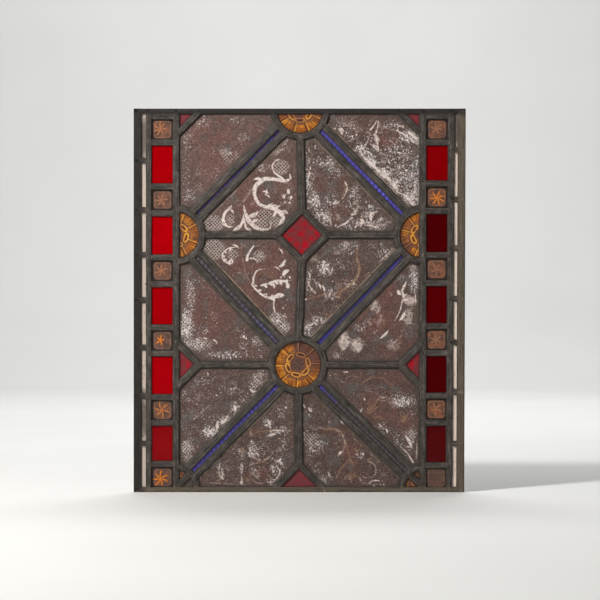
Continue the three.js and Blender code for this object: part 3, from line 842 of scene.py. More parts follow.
PAINTING["upper_left_outer"] = {
    "faint": [
        leaf(-65, 551, -59, 547, 1.0), leaf(-63, 542, -57, 540, 1.0), leaf(-59, 548, -53, 544, 1.0),
        *fan(-86, 527, 80, 13, 6, 200, 1.0), *fan(-110, 515, 200, 14, 4, 120, 0.9),
        curl(-150, 500, 16, 10, 150, -40, 0.8), curl(-128, 545, 14, 6, 200, -120, 0.8),
        stem(0.8, 0.6, (-143, 559), (-155, 548), (-162, 535), (-170, 520), (-171, 503)),
        *fan(-150, 475, 100, 16, 5, 120, 0.8), curl(-140, 470, 9, 3, 0, 330, 0.7),
        leaf(-100, 557, -92, 562, 1.1),
    ],
    "flecks": [
        (-150, 552, 16, 12, 0.65), (-166, 530, 9, 16, 0.6), (-172, 505, 7, 22, 0.5),
        (-166, 445, 10, 14, 0.75), (-110, 510, 26, 14, 0.55), (-85, 532, 16, 12, 0.5),
        (-95, 558, 16, 8, 0.5), (-120, 475, 22, 16, 0.4), (-168, 470, 8, 14, 0.5),
    ],
    "net": [(-108, 503, 10, 12, 0.45), (-95, 505, 9, 8, 0.35), (-150, 455, 12, 10, 0.3)],
    "rust": [(-135, 540, 30, 22, 1.0), (-120, 500, 44, 44, 0.7), (-80, 545, 25, 15, 0.4)],
    "tone": (0.5, 0.5, 0.1),
}
PAINTING["upper_right_outer"] = {
    "bright": [
        stem(1.4, 3.0, (90, 514), (94, 505), (101, 497), (111, 490)),
        stem(2.0, 3.4, (111, 489), (124, 476), (133, 470), (141, 461)),
        stem(3.0, 1.0, (141, 462), (144, 455), (147, 450)),
        stem(1.2, 3.4, (148, 449), (159, 444), (166, 436), (171, 432)),
        stem(1.2, 1.8, (145, 542), (155, 537), (162, 532), (172, 525)),
        stem(2.0, 3.4, (164, 539), (173, 532), (179, 522)), leaf(179, 526, 181, 508, 2.0, 0.0),
        leaf(179, 470, 178, 434, 1.2, 0.0), leaf(145, 549, 158, 545, 1.6),
        stem(0.8, 1.6, (116, 558), (111, 549), (106, 543)),
        stem(1.0, 1.6, (118, 556), (116, 544), (112, 535)),
        stem(1.6, 1.2, (112, 535), (116, 525), (118, 514)), leaf(110, 537, 117, 524, 2.8),
        leaf(107, 521, 118, 509, 3.2), stem(0.6, 0.6, (106, 540), (103, 530), (97, 514)),
        leaf(56, 544, 67, 541, 2.6, 0.1), leaf(95, 513, 104, 525, 0.8), leaf(61, 540, 64, 536, 2.0),
        leaf(98, 512, 110, 500, 1.6), leaf(170, 466, 168, 440, 1.6),
    ],
    "faint": [
        *fan(69, 549, 60, 24, 9, 170, 0.9), *fan(130, 548, 140, 16, 5, 120, 1.0),
        curl(140, 515, 17, 12, 140, -60, 1.1), curl(140, 515, 8, 3, 0, 340, 0.8),
        *fan(160, 500, 60, 15, 7, 160, 1.2), *fan(125, 500, 300, 16, 6, 140, 1.3),
        *fan(90, 540, 100, 13, 5, 130, 0.9), curl(152, 475, 12, 5, 60, 360, 0.9),
        *fan(170, 470, 120, 13, 6, 160, 1.2), *fan(118, 505, 0, 14, 5, 120, 1.0),
    ],
    "flecks": [
        (168, 533, 20, 12, 0.9), (92, 512, 12, 12, 0.9), (106, 494, 14, 10, 1.0), (125, 478, 15, 11, 1.0),
        (75, 532, 14, 9, 0.6), (143, 459, 12, 14, 1.0), (178, 475, 6, 48, 0.9), (168, 442, 16, 12, 1.0),
        (112, 530, 14, 26, 0.55), (70, 545, 18, 12, 0.6), (145, 505, 34, 24, 0.65), (160, 470, 22, 34, 0.7),
        (140, 548, 18, 8, 0.7),
    ],
    "net": [(150, 478, 18, 18, 0.35)],
    "wash": [
        (104, 495, 10, 8, 0.5), (126, 477, 12, 10, 0.7), (142, 462, 8, 8, 0.6), (168, 442, 12, 9, 0.6),
        (176, 532, 10, 8, 0.5),
    ],
    "rust": [(130, 532, 20, 14, 1.0), (95, 550, 25, 14, 0.3), (150, 455, 10, 8, 0.5)],
    "tone": (0.1, 1.0, 0.6),
}
PAINTING["middle_left_outer"] = {
    "bright": [
        leaf(-177, 244, -176, 234, 1.8, 0.0), leaf(-132, 229, -123, 221, 1.3), berry(-84, 233, 2.2, 0.4),
        leaf(-164, 262, -166, 255, 1.3), leaf(-146, 230, -138, 229, 1.0), leaf(-117, 207, -116, 199, 1.2),
    ],
    "faint": [
        stem(0.7, 0.7, (-176, 272), (-176, 262), (-176, 250)),
        stem(0.8, 0.8, (-165, 236), (-152, 232), (-140, 229)), curl(-128, 262, 8, 5, 200, -20, 0.7),
        curl(-120, 256, 10, 8, 170, 350, 0.7), leaf(-63, 228, -58, 222, 1.3),
        stem(0.5, 0.5, (-60, 218), (-48, 214), (-46, 204)), *fan(-95, 240, 60, 9, 4, 90, 0.7),
        berry(-165, 334, 1.5), berry(-173, 325, 1.5), curl(-140, 290, 18, 12, 120, -40, 0.6),
        *fan(-150, 315, 100, 12, 4, 100, 0.7),
    ],
    "flecks": [
        (-170, 250, 10, 26, 0.95), (-155, 222, 18, 12, 0.85), (-110, 205, 34, 7, 0.85),
        (-84, 222, 7, 20, 0.7), (-64, 226, 10, 9, 0.7), (-164, 300, 9, 30, 0.7), (-148, 316, 10, 12, 0.5),
        (-128, 262, 14, 10, 0.45), (-150, 240, 22, 10, 0.6), (-60, 208, 14, 8, 0.5),
    ],
    "net": [
        (-168, 252, 10, 30, 0.55), (-150, 222, 22, 10, 0.5), (-164, 298, 8, 22, 0.4), (-66, 226, 8, 8, 0.4),
    ],
    "rust": [
        (-125, 275, 44, 44, 0.9), (-110, 235, 26, 20, 0.5), (-160, 330, 16, 12, 0.4),
        (-75, 212, 20, 12, 0.35),
    ],
    "tone": (0.25, 0.6, 0.1),
}
PAINTING["middle_right_outer"] = {
    "bright": [
        leaf(134, 244, 119, 229, 1.9, 0.05), stem(1.2, 0.5, (154, 288), (150, 271), (142, 256)),
        leaf(159, 273, 148, 256, 2.4, 0.08), leaf(154, 300, 161, 317, 2.0, 0.05),
        leaf(153, 295, 147, 304, 2.6), leaf(154, 288, 165, 286, 2.2, 0.1), leaf(152, 292, 164, 296, 1.1),
        stem(1.4, 1.8, (153, 303), (155, 297), (156, 292)), leaf(173, 300, 174, 280, 0.9, 0.0),
    ],
    "faint": [
        *fan(152, 291, 335, 24, 7, 60, 1.6), leaf(163, 277, 160, 250, 2.8),
        *fan(160, 274, 265, 24, 5, 40, 1.4), leaf(133, 301, 138, 292, 1.6),
        *fan(140, 214, 80, 17, 6, 130, 1.6), leaf(150, 326, 157, 318, 1.4), leaf(72, 232, 80, 224, 1.6),
        *fan(90, 216, 90, 17, 7, 120, 1.0), *fan(66, 214, 95, 22, 6, 60, 1.0),
        curl(57, 206, 8, 5, 0, 330, 1.2), stem(0.8, 0.8, (168, 340), (168, 325), (168, 311)),
        stem(0.8, 0.8, (172, 338), (172, 322), (171, 306)),
        stem(0.8, 0.8, (178, 336), (178, 318), (177, 300)),
    ],
    "rusty": [leaf(122, 262, 126, 248, 1.4), leaf(148, 226, 156, 236, 1.4), leaf(150, 220, 140, 212, 1.4)],
    "flecks": [
        (92, 246, 10, 7, 0.7), (162, 262, 8, 20, 0.6), (62, 204, 16, 6, 0.4), (171, 318, 9, 26, 0.85),
        (112, 240, 14, 6, 0.45), (140, 218, 16, 12, 0.3), (160, 245, 10, 9, 0.5), (150, 320, 12, 12, 0.4),
    ],
    "net": [(172, 322, 6, 24, 0.5)],
    "wash": [
        (66, 227, 8, 15, 1.0), (86, 221, 10, 12, 0.95), (76, 222, 7, 6, 0.6), (113, 278, 9, 11, 0.75),
        (103, 256, 8, 7, 0.6), (166, 286, 11, 7, 0.9), (120, 257, 8, 11, 0.6), (89, 246, 9, 6, 0.4),
        (163, 260, 8, 20, 0.65), (140, 222, 13, 13, 0.45), (55, 206, 11, 6, 0.45), (155, 232, 8, 8, 0.4),
    ],
    "rust": [(137, 297, 18, 16, 1.0), (115, 262, 34, 30, 0.9), (145, 222, 26, 22, 0.8)],
    "tone": (0.15, 0.3, 0.25),
}
PAINTING["lower_left_outer"] = {
    "bright": [
        berry(-141, 86, 1.3), leaf(-137, 93, -132, 86, 2.4), leaf(-124, 108, -125, 91, 2.4, 0.05),
        leaf(-120, 104, -109, 108, 2.8, 0.05), leaf(-109, 108, -106, 116, 1.6),
        leaf(-98, 132, -97, 119, 2.0, 0.05), berry(-74, 137, 1.1), leaf(-139, 180, -138, 173, 1.5),
        leaf(-72, 148, -64, 151, 1.4), berry(-125, 145, 1.3), berry(-153, 68, 1.2),
    ],
    "faint": [
        stem(0.7, 0.6, (-68, 174), (-69, 164), (-60, 163), (-50, 167)), leaf(-154, 164, -146, 166, 1.0),
        leaf(-146, 165, -131, 166, 0.9), leaf(-129, 182, -127, 176, 1.0),
        curl(-172, 147, 4, 4, 0, 300, 1.0), leaf(-160, 107, -139, 126, 1.8, 0.05), berry(-107, 151, 1.5),
        berry(-98, 150, 1.3), leaf(-89, 148, -84, 151, 1.2), leaf(-88, 133, -82, 139, 1.5),
        berry(-157, 121, 1.0), berry(-122, 117, 1.0), berry(-119, 143, 0.9),
        leaf(-134, 108, -131, 101, 1.2), berry(-172, 54, 1.6), curl(-165, 66, 7, 4, 0, 330, 0.8),
        *fan(-58, 172, 120, 10, 5, 150, 0.8), curl(-120, 165, 11, 5, 150, -120, 0.7),
        *fan(-100, 160, 60, 11, 4, 100, 0.7), *fan(-150, 140, 110, 12, 4, 120, 0.8),
    ],
    "flecks": [
        (-134, 90, 16, 11, 1.0), (-114, 106, 14, 9, 0.95), (-98, 124, 9, 12, 0.9), (-70, 155, 9, 18, 0.7),
        (-60, 172, 12, 10, 0.65), (-105, 152, 16, 7, 0.6), (-145, 165, 18, 7, 0.5), (-168, 66, 11, 18, 0.6),
        (-172, 145, 6, 12, 0.6), (-82, 137, 12, 8, 0.5), (-150, 130, 34, 34, 0.35),
        (-165, 100, 14, 20, 0.4),
    ],
    "net": [(-168, 66, 9, 12, 0.7), (-64, 168, 9, 10, 0.6), (-165, 50, 9, 7, 0.6)],
    "rust": [(-163, 125, 14, 14, 0.35), (-140, 150, 20, 14, 0.2)],
    "tone": (0.2, 0.8, 0.1),
}
PAINTING["lower_right_outer"] = {
    "bright": [
        leaf(157, 86, 169, 65, 2.7, 0.05), stem(0.7, 1.4, (150, 69), (160, 60), (165, 53), (170, 44)),
        leaf(158, 67, 168, 66, 1.2), berry(145, 133, 1.9, 0.4), berry(163, 133, 1.6, 1.2),
        leaf(92, 125, 90, 119, 1.4), leaf(96, 141, 97, 137, 1.2), berry(156, 51, 1.2),
        leaf(176, 74, 175, 50, 0.9, 0.0), leaf(64, 180, 74, 180, 1.1, 0.0), leaf(128, 96, 131, 87, 1.3),
        leaf(118, 103, 121, 98, 1.1),
    ],
    "faint": [
        stem(0.9, 0.8, (140, 91), (147, 86), (147, 76), (143, 68), (147, 60), (154, 54)),
        curl(144, 86, 5, 3, 60, 330, 0.8), *fan(170, 82, 100, 15, 6, 110, 0.8),
        leaf(172, 96, 171, 104, 1.1), curl(150, 140, 11, 7, 0, 330, 1.0), leaf(52, 171, 66, 162, 1.2),
        leaf(50, 177, 60, 174, 1.0), stem(0.7, 0.6, (118, 138), (128, 137), (137, 140)),
        curl(80, 165, 12, 6, 200, -60, 0.7), *fan(100, 150, 60, 14, 5, 120, 0.8),
        curl(120, 150, 9, 4, 0, 320, 0.7),
    ],
    "rusty": [
        curl(128, 130, 15, 9, 180, -60, 1.2), *fan(110, 120, 110, 16, 5, 130, 1.4),
        *fan(160, 108, 130, 15, 5, 120, 1.3), stem(1.2, 0.8, (95, 165), (110, 172), (128, 168), (140, 156)),
        leaf(110, 112, 128, 108, 1.6),
    ],
    "flecks": [
        (154, 137, 22, 11, 1.0), (128, 139, 14, 6, 0.6), (124, 96, 13, 10, 0.7), (150, 54, 12, 10, 0.7),
        (90, 122, 8, 7, 0.5), (90, 145, 14, 7, 0.45), (148, 80, 12, 14, 0.55), (168, 75, 9, 24, 0.6),
        (45, 176, 9, 10, 0.4), (166, 118, 8, 18, 0.4),
    ],
    "net": [(166, 88, 10, 10, 0.5), (150, 134, 14, 8, 0.6)],
    "rust": [
        (120, 125, 34, 26, 0.75), (140, 165, 26, 20, 0.6), (160, 105, 18, 16, 0.7), (80, 172, 24, 14, 0.4),
    ],
    "tone": (0.0, 0.4, 0.1),
}
PAINTING["lower_left_inner"] = {
    "bright": [
        leaf(-87, 46, -87, 26, 2.2, 0.0), leaf(-87, 17, -87, 11, 2.4, 0.0),
        leaf(-87, 24, -87, 17, 1.2, 0.0), stem(0.8, 1.6, (-119, 44), (-121, 35), (-120, 25), (-115, 20)),
        leaf(-118, 32, -116, 22, 1.3), leaf(-49, 109, -45, 98, 2.4), leaf(-56, 99, -45, 98, 1.3),
        leaf(-46, 103, -41, 107, 1.4), leaf(-51, 83, -33, 87, 2.1, 0.05), berry(-21, 127, 1.9),
        berry(-62, 64, 1.4), leaf(-39, 47, -25, 40, 2.2), leaf(-31, 46, -27, 50, 1.6),
        leaf(-41, 40, -39, 28, 2.1, 0.0), berry(-44, 15, 1.5), berry(-38, 18, 1.6),
        stem(0.9, 1.0, (-35, 41), (-30, 31), (-33, 23), (-39, 16)), leaf(-74, 70, -70, 56, 1.6, -0.2),
        leaf(-68, 60, -61, 52, 1.6), leaf(-70, 84, -74, 92, 1.0), leaf(-43, 93, -22, 92, 1.3, 0.0),
    ],
    "faint": [
        curl(-57, 66, 18, 18, 145, 345, 2.2, 1.8), curl(-55, 62, 9, 3, 0, 340, 0.8),
        *fan(-70, 24, 40, 16, 7, 150, 1.3), curl(-58, 26, 16, 9, 170, 400, 1.2),
        *fan(-30, 92, 20, 14, 5, 100, 0.9), leaf(-87, 64, -86, 48, 2.2, 0.0),
        *fan(-87, 60, 90, 10, 5, 140, 0.9), *fan(-108, 32, 60, 14, 5, 100, 0.9), berry(-66, 40, 1.6),
        leaf(-76, 40, -66, 42, 2.0), curl(-104, 34, 14, 9, 90, 300, 0.9),
        stem(0.5, 0.5, (-12, 140), (-12, 100), (-13, 55)), *fan(-24, 118, 210, 12, 5, 120, 0.9),
        leaf(-138, 14, -92, 12, 1.4, 0.0), *fan(-30, 60, 100, 11, 4, 110, 0.9),
        curl(-30, 72, 9, 6, 0, 330, 0.8),
    ],
    "rusty": [
        stem(0.9, 1.4, (-74, 84), (-63, 90), (-49, 92), (-38, 90)), leaf(-86, 68, -88, 56, 1.8),
        leaf(-84, 22, -95, 12, 1.8), leaf(-83, 22, -76, 12, 1.6), curl(-58, 26, 20, 18, 60, 150, 1.2),
        leaf(-118, 24, -126, 15, 1.2),
    ],
    "flecks": [
        (-70, 62, 8, 14, 0.9), (-87, 42, 6, 26, 0.45), (-48, 102, 11, 10, 0.7), (-32, 92, 18, 7, 0.75),
        (-35, 38, 14, 16, 0.7), (-58, 66, 16, 16, 0.4), (-40, 14, 14, 8, 0.7), (-92, 62, 12, 9, 0.5),
        (-22, 72, 9, 26, 0.5), (-118, 30, 8, 16, 0.5), (-66, 38, 14, 9, 0.4), (-30, 120, 14, 14, 0.5),
    ],
    "net": [(-28, 22, 9, 9, 0.4)],
    "wash": [(-18, 136, 9, 12, 0.4), (-73, 76, 5, 10, 0.4), (-60, 30, 22, 16, 0.2)],
    "rust": [(-62, 24, 26, 16, 0.6), (-60, 90, 20, 7, 0.5), (-86, 60, 8, 8, 0.4)],
    "tone": (0.05, 0.8, 1.0),
}
PAINTING["lower_right_inner"] = {
    "bright": [
        leaf(13, 128, 20, 121, 1.8, -0.2), berry(14, 116, 1.4), leaf(60, 107, 65, 101, 1.4),
        berry(95, 57, 1.6, 0.8), berry(86, 56, 1.5), stem(0.9, 1.0, (104, 13), (110, 17), (119, 17)),
        berry(126, 11, 1.8), leaf(58, 56, 64, 61, 1.4), berry(61, 58, 1.4), leaf(91, 49, 96, 53, 1.0),
        leaf(42, 30, 44, 22, 1.5), leaf(5, 133, 8, 125, 1.2, 0.0), berry(20, 62, 1.6), berry(24, 62, 1.3),
    ],
    "faint": [
        curl(46, 73, 22, 22, 70, -60, 1.6, 1.4), curl(46, 66, 12, 11, 160, 290, 1.1),
        leaf(34, 72, 44, 71, 1.2), leaf(28, 120, 38, 114, 1.6), berry(44, 105, 1.8),
        curl(102, 33, 13, 12, 85, -140, 1.6, 1.0), leaf(110, 47, 118, 40, 1.3),
        curl(28, 36, 7, 3, 60, 330, 1.0), stem(1.3, 0.9, (46, 36), (42, 29), (47, 23), (56, 22)),
        leaf(52, 31, 53, 24, 1.2), leaf(88, 24, 101, 12, 1.9, -0.1), berry(16, 75, 1.8, 2.4),
        leaf(8, 86, 8, 70, 1.6, 0.0), *fan(30, 62, 200, 12, 4, 120, 0.9), leaf(66, 20, 74, 24, 1.2),
        *fan(20, 92, 70, 13, 5, 120, 1.0), leaf(22, 95, 40, 92, 1.2), leaf(6, 106, 6, 98, 1.4, 0.0),
        curl(70, 14, 8, 3, 0, 330, 0.8), *fan(125, 24, 60, 10, 4, 120, 0.8),
        curl(20, 40, 14, 10, 80, 250, 0.9), leaf(78, 84, 96, 66, 0.9, 0.0),
        leaf(100, 64, 124, 40, 0.9, 0.0),
    ],
    "rusty": [
        curl(46, 73, 22, 22, 110, 30, 1.8, 2.0), stem(1.6, 1.2, (68, 78), (71, 66), (76, 50), (82, 38)),
        leaf(80, 66, 88, 56, 1.8), stem(1.6, 1.0, (74, 48), (64, 38), (58, 30)),
        *fan(80, 20, 100, 13, 5, 130, 1.4), leaf(100, 46, 110, 50, 1.5),
    ],
    "flecks": [
        (30, 72, 9, 12, 0.6), (14, 62, 12, 14, 0.5), (38, 18, 16, 10, 0.65), (90, 56, 12, 9, 0.5),
        (8, 84, 6, 40, 0.5), (60, 76, 14, 14, 0.35), (110, 14, 16, 7, 0.5), (24, 34, 12, 10, 0.45),
        (18, 122, 12, 10, 0.5),
    ],
    "net": [(20, 75, 12, 16, 0.5), (28, 18, 12, 8, 0.5)],
    "rust": [(74, 56, 20, 22, 0.7), (50, 92, 20, 9, 0.5), (80, 24, 24, 12, 0.4)],
    "tone": (0.0, 0.5, 0.2),
}

material, start, place, shader = begin("painted glass")
rim, lee, slant, bright, faint, rusty = start.marks("rim", "lee", "slant", "bright", "faint", "rusty")
flecks, net, wash, rust = start.marks("flecks", "net", "wash", "rust")
tone, grain, line = start.marks("tone", "grain", "line")
clouds = start.mottle(place, 30.0, 3.0, 0.5, 0.3)
blotch = start.mottle(place, 7.0, 4.0, 0.65, 1.7)
stipple = start.mottle(place, 2.2, 3.0, 0.8, 2.9)
fine = start.mottle(place, 1.4, 3.0, 0.8, 5.5)
wear = start.mottle(place, 4.0, 4.0, 0.7, 6.1)
ragged = (start.mottle(place, 1.9, 3.0, 0.7, 4.3) - 0.5) * 4.0

# the brown matt, in clouds and grains
thick = start.between(tone, dye(80, 61, 55), dye(104, 79, 73))
thin = start.between(tone, dye(107, 86, 79), dye(130, 106, 99))
colour = thick.tinted(clouds.rise(0.3, 0.7) * 0.4 + blotch.rise(0.35, 0.7) * 0.6, thin)
colour = colour.tinted(rust * (blotch + clouds).rise(0.75, 1.15) * 0.75, dye(130, 80, 72))
colour = colour.tinted(clouds.rise(0.46, 0.34) * 0.75, dye(104, 98, 95))
colour = colour.tinted(stipple.rise(0.52, 0.66) * (grain * 0.25 + 0.5), dye(158, 140, 132))
colour = colour.tinted(fine.rise(0.5, 0.38) * 0.85, dye(46, 33, 30))
colour = colour.tinted(stipple.rise(0.45, 0.33) * 0.55, dye(52, 37, 33))

# pale wash, and netting whose threads run both ways and bow with the clouds
misty = (wash * 0.8 + wear * 1.6 - 1.05).rise(0.0, 0.6) * wash.rise(0.0, 0.6)
colour = colour.tinted(misty, start.between(stipple.rise(0.36, 0.56), dye(124, 100, 90), dye(238, 222, 212)))
bow = start.node("CombineXYZ", (), {"X": clouds * 9.0, "Z": blotch * 2.5})
bowed = start.node("VectorMath", {"operation": "ADD"}, {0: place, 1: bow})
turned = start.node("Mapping", (), {"Vector": bowed, "Rotation": (0, 0.76, 0)})
threads = [
    start.maths("SINE", start.node("SeparateXYZ", (), {"Vector": turned}, axis) * 1.7 + (wear - 0.5) * 1.6)
    for axis in ("X", "Z")
]
netting = start.maths("MAXIMUM", *threads).rise(0.58, 0.95) * (wear + stipple).rise(0.75, 1.0)
colour = colour.tinted(net.rise(0.1, 0.8) * 0.55, dye(66, 48, 43))
colour = colour.tinted((net + wear - 0.5).rise(0.15, 0.6) * netting * 0.9, dye(216, 200, 192))

# strokes, ragged at their edges, and flecks
old = ragged * 0.7 - rusty
colour = colour.tinted(old.rise(-0.6, 0.6) * wear.rise(0.25, 0.5) * 0.8, dye(138, 104, 80))
colour = colour.tinted(old.rise(0.3, 1.4) * wear.rise(0.45, 0.6) * 0.6, dye(190, 164, 138))
worn = ragged * 0.8 - faint
colour = colour.tinted(worn.rise(-0.3, 0.8) * wear.rise(0.4, 0.6) * 0.75, dye(186, 164, 154))
specks = start.mottle(place, 2.3, 3.0, 0.75, 8.2) + flecks * 0.18 + grain * 0.03
colour = colour.tinted(specks.rise(0.67, 0.75), dye(236, 228, 225))
clean = ragged * 0.8 - bright - 0.3
whole = (wear + stipple * 0.6 - grain * 0.12).rise(0.58, 0.76)
colour = colour.tinted(clean.rise(-0.9, 0.2) * 0.35, dye(168, 142, 132))
colour = colour.tinted(clean.rise(-0.4, 0.5) * (whole * 0.8 + 0.17), dye(238, 224, 216))

# dirt along the leads, a clear line beside it on long slants, and a painted shadow of the leads along the
# pane's upper and left sides
colour = colour.tinted((1 - rim.rise(4.0, 9.0)) * (clouds * 0.6 + 0.3), dye(78, 71, 62))
clear = rim.rise(4.6, 5.3) * (1 - rim.rise(6.2, 7.4)) * slant.rise(0.6, 0.9) * line
colour = colour.tinted(clear * blotch.rise(0.36, 0.56) * 0.7, dye(176, 154, 132))
# painted shadow: darker next to the leads on the pane's upper and left sides
colour = colour.tinted((1 - rim.rise(3.6, 6.0)) * lee.rise(0.3, 0.8) * 0.85, dye(34, 27, 24))
put(shader, Base_Color=colour, Roughness=blotch * 0.2 + 0.42, Transmission_Weight=0.15)
put(shader, Specular_IOR_Level=0.25, Normal=bumped(stipple * 0.3 + wear * 0.5, 0.0003))

for name, art in PAINTING.items():
    points, faces, marks = glass_sheet("pane_" + name, 1.0)
    x, z = points[:, 0], points[:, 2]
    for kind in ("bright", "faint", "rusty"):
        marks[kind] = reach_to(art.get(kind, []), x, z)
    for kind in ("flecks", "net", "wash", "rust"):
        marks[kind] = patch(art.get(kind, []), x, z)
    for kind, amount in zip(("tone", "grain", "line"), art["tone"]):
        marks[kind] = np.full(x.shape, amount)
    fitted("painted_" + name, "pane_" + name, material, [(points, faces, marks)])


# ---- Blue fillets -----------------------------------------------------------------------
# Narrow strips of cobalt blue glass between the two cames of each diagonal, painted with a
# row of pearls. Dirt has dulled some of them to the grey of the lead.
# Each: how vivid all over, how plain its pearls, how much is torn by dirt, and its vivid ovals.
BLUES = {
    "upper_left": (0.55, 0.5, 0.9, [
        (-45, 525, 14, 14, 1), (-75, 494, 12, 12, 0.9), (-100, 470, 10, 10, 0.7),
    ]),
    "upper_right": (0.85, 0.9, 0.1, [(120, 454, 30, 30, 1.3)]),
    "middle_left": (0.1, 0.9, 0.3, [(-48, 242, 30, 30, 0.42), (-80, 272, 20, 20, 0.3)]),
    "middle_right": (
        0.5, 0.15, 0.1,
        [(33, 230, 9, 9, 1.35), (45, 242, 16, 16, 0.7), (95, 290, 10, 10, 0.75), (142, 338, 14, 14, 0.8)],
    ),
    "lower_left": (
        0.95, 1.0, 0.35, [(-70, 110, 24, 24, 1.25), (-120, 60, 18, 18, 1.2), (-34, 152, 10, 10, 1.3)],
    ),
    "lower_right": (0.08, 0.4, 0.4, [(30, 158, 12, 12, 0.85), (48, 143, 14, 14, 0.5)]),
}
PEARL, TEAR = 8.0, 9.0  # spacing of the pearls and of the dirty gaps
material, start, place, shader = begin("blue glass")
rim, lee, vivid, run, pearly, gaps = start.marks("rim", "lee", "vivid", "run", "pearly", "gaps")
pearls = start.maths("SINE", run * (2 * np.pi / PEARL)).rise(-0.2, 0.9)
film = start.mottle(place, 8.0, 3.0, 0.6, 2.0)
pearl = start.between(vivid.rise(0.8, 1.25), dye(98, 88, 184), dye(120, 118, 248))
colour = start.between(pearls * (pearly * 0.8 + 0.1), dye(78, 69, 160), pearl)
colour = colour.tinted(start.mottle(place, 2.0, 2.0, 0.6) * 0.3, dye(66, 57, 124))
dull = start.between(pearls * pearly, dye(74, 68, 70), dye(112, 106, 116))
colour = dull.tinted((vivid * 1.25 - film * 0.35).rise(0.0, 0.9), colour)
torn = gaps * start.maths("SINE", run * (2 * np.pi / TEAR) + film * 5.0).rise(-0.1, 0.3)
colour = colour.tinted(torn, dye(74, 69, 64))
# painted shadow: darker next to the leads on the strip's upper and left side
colour = colour.tinted((1 - rim.rise(3.2, 4.6)) * lee.rise(0.0, 0.5) * 0.8, dye(26, 21, 34))
put(shader, Base_Color=colour, Roughness=film * 0.3 + 0.3)
put(shader, Transmission_Weight=0.1, Specular_IOR_Level=0.3)
for name, (strength, pearly, gaps, areas) in BLUES.items():
    node = "blue_fillet_" + name
    points, faces, marks = glass_sheet(node, 1.0)
    x, z = points[:, 0], points[:, 2]
    marks["vivid"] = np.maximum(patch(areas, x, z), strength)
    marks["run"] = np.hypot(x - x[0], z - z[0])
    marks["gaps"] = np.full(x.shape, gaps)
    marks["pearly"] = np.full(x.shape, pearly)
    fitted(node + "_glass", node, material, [(points, faces, marks)])


# ---- Ruby diamonds ----------------------------------------------------------------------
# Ruby glass under a stippled matt, with dabs wiped out of it to leave a red flower. Those cut
# by the panel's edge are duller.
DABS = {
    "centre": [
        berry(2, 387, 4.2), berry(17, 396, 2.6), berry(26, 388, 4.0, 0.5), berry(18, 381, 2.8, 1.2),
        berry(8, 371, 4.6, 1.5), berry(-15, 379, 3.6), berry(3, 361, 3.6), berry(7, 402, 2.6),
        berry(-14, 392, 2.4), berry(-4, 372, 3.0), berry(-22, 384, 2.6),
    ],
    "left": [berry(-168, 189, 2.8, 1.0), berry(-164, 198, 4.6), berry(-158, 196, 2.4), berry(-172, 178, 2.2)],
    "right": [
        berry(165, 201, 3.0), berry(168, 193, 3.8, 2.5), berry(166, 184, 3.4), berry(157, 193, 2.2),
        berry(170, 209, 2.4),
    ],
    "top_left": [berry(-170, 563, 2.0)],
    "top_right": [berry(172, 556, 2.6, 1.0)],
    "bottom": [berry(-4, 18, 3.0), berry(2, 24, 2.0)],
}
DULLED = {"top_left": 0.75, "top_right": 0.6, "bottom": 0.6}
material, start, place, shader = begin("stippled ruby glass")
rim, dabs, dull = start.marks("rim", "dabs", "dull")
clouds = start.mottle(place, 12.0, 3.0, 0.6)
stipple = start.mottle(place, 1.6, 2.0, 0.7, 3.0)
colour = start.between(clouds.rise(0.35, 0.65), dye(120, 58, 60), dye(146, 36, 46))
colour = colour.tinted((stipple * 3.0 - 1.5 - dabs).rise(-2.0, 2.2), dye(178, 12, 32))
colour = colour.tinted(stipple.rise(0.5, 0.75) * 0.3, dye(96, 40, 42))
colour = colour.tinted(dull, dye(116, 62, 68))
colour = colour.tinted(1 - rim.rise(3.5, 7.0), dye(96, 50, 50))
put(shader, Base_Color=colour, Roughness=0.4, Transmission_Weight=0.2, Specular_IOR_Level=0.2)
for name, dabs in DABS.items():
    node = "ruby_diamond_" + name
    points, faces, marks = glass_sheet(node, 1.0)
    marks["dabs"] = reach_to(dabs, points[:, 0], points[:, 2])
    marks["dull"] = np.full(len(points), DULLED.get(name, 0.0))
    fitted(node + "_glass", node, material, [(points, faces, marks)])


# ---- Roundels ---------------------------------------------------------------------------
# White glass stained yellow and amber with silver, over which a rosette is traced in brown:
# a ring of hatched petals, a ring of loops, and a dark eye.
EYE = 10.5
LOOPS, LOOP_RING = 6, 15.6
MOAT = (19.0, 24.0)  # the dark ring between the loops and the petals
PETAL_FOOT, PETAL_HEAD = 20, 37


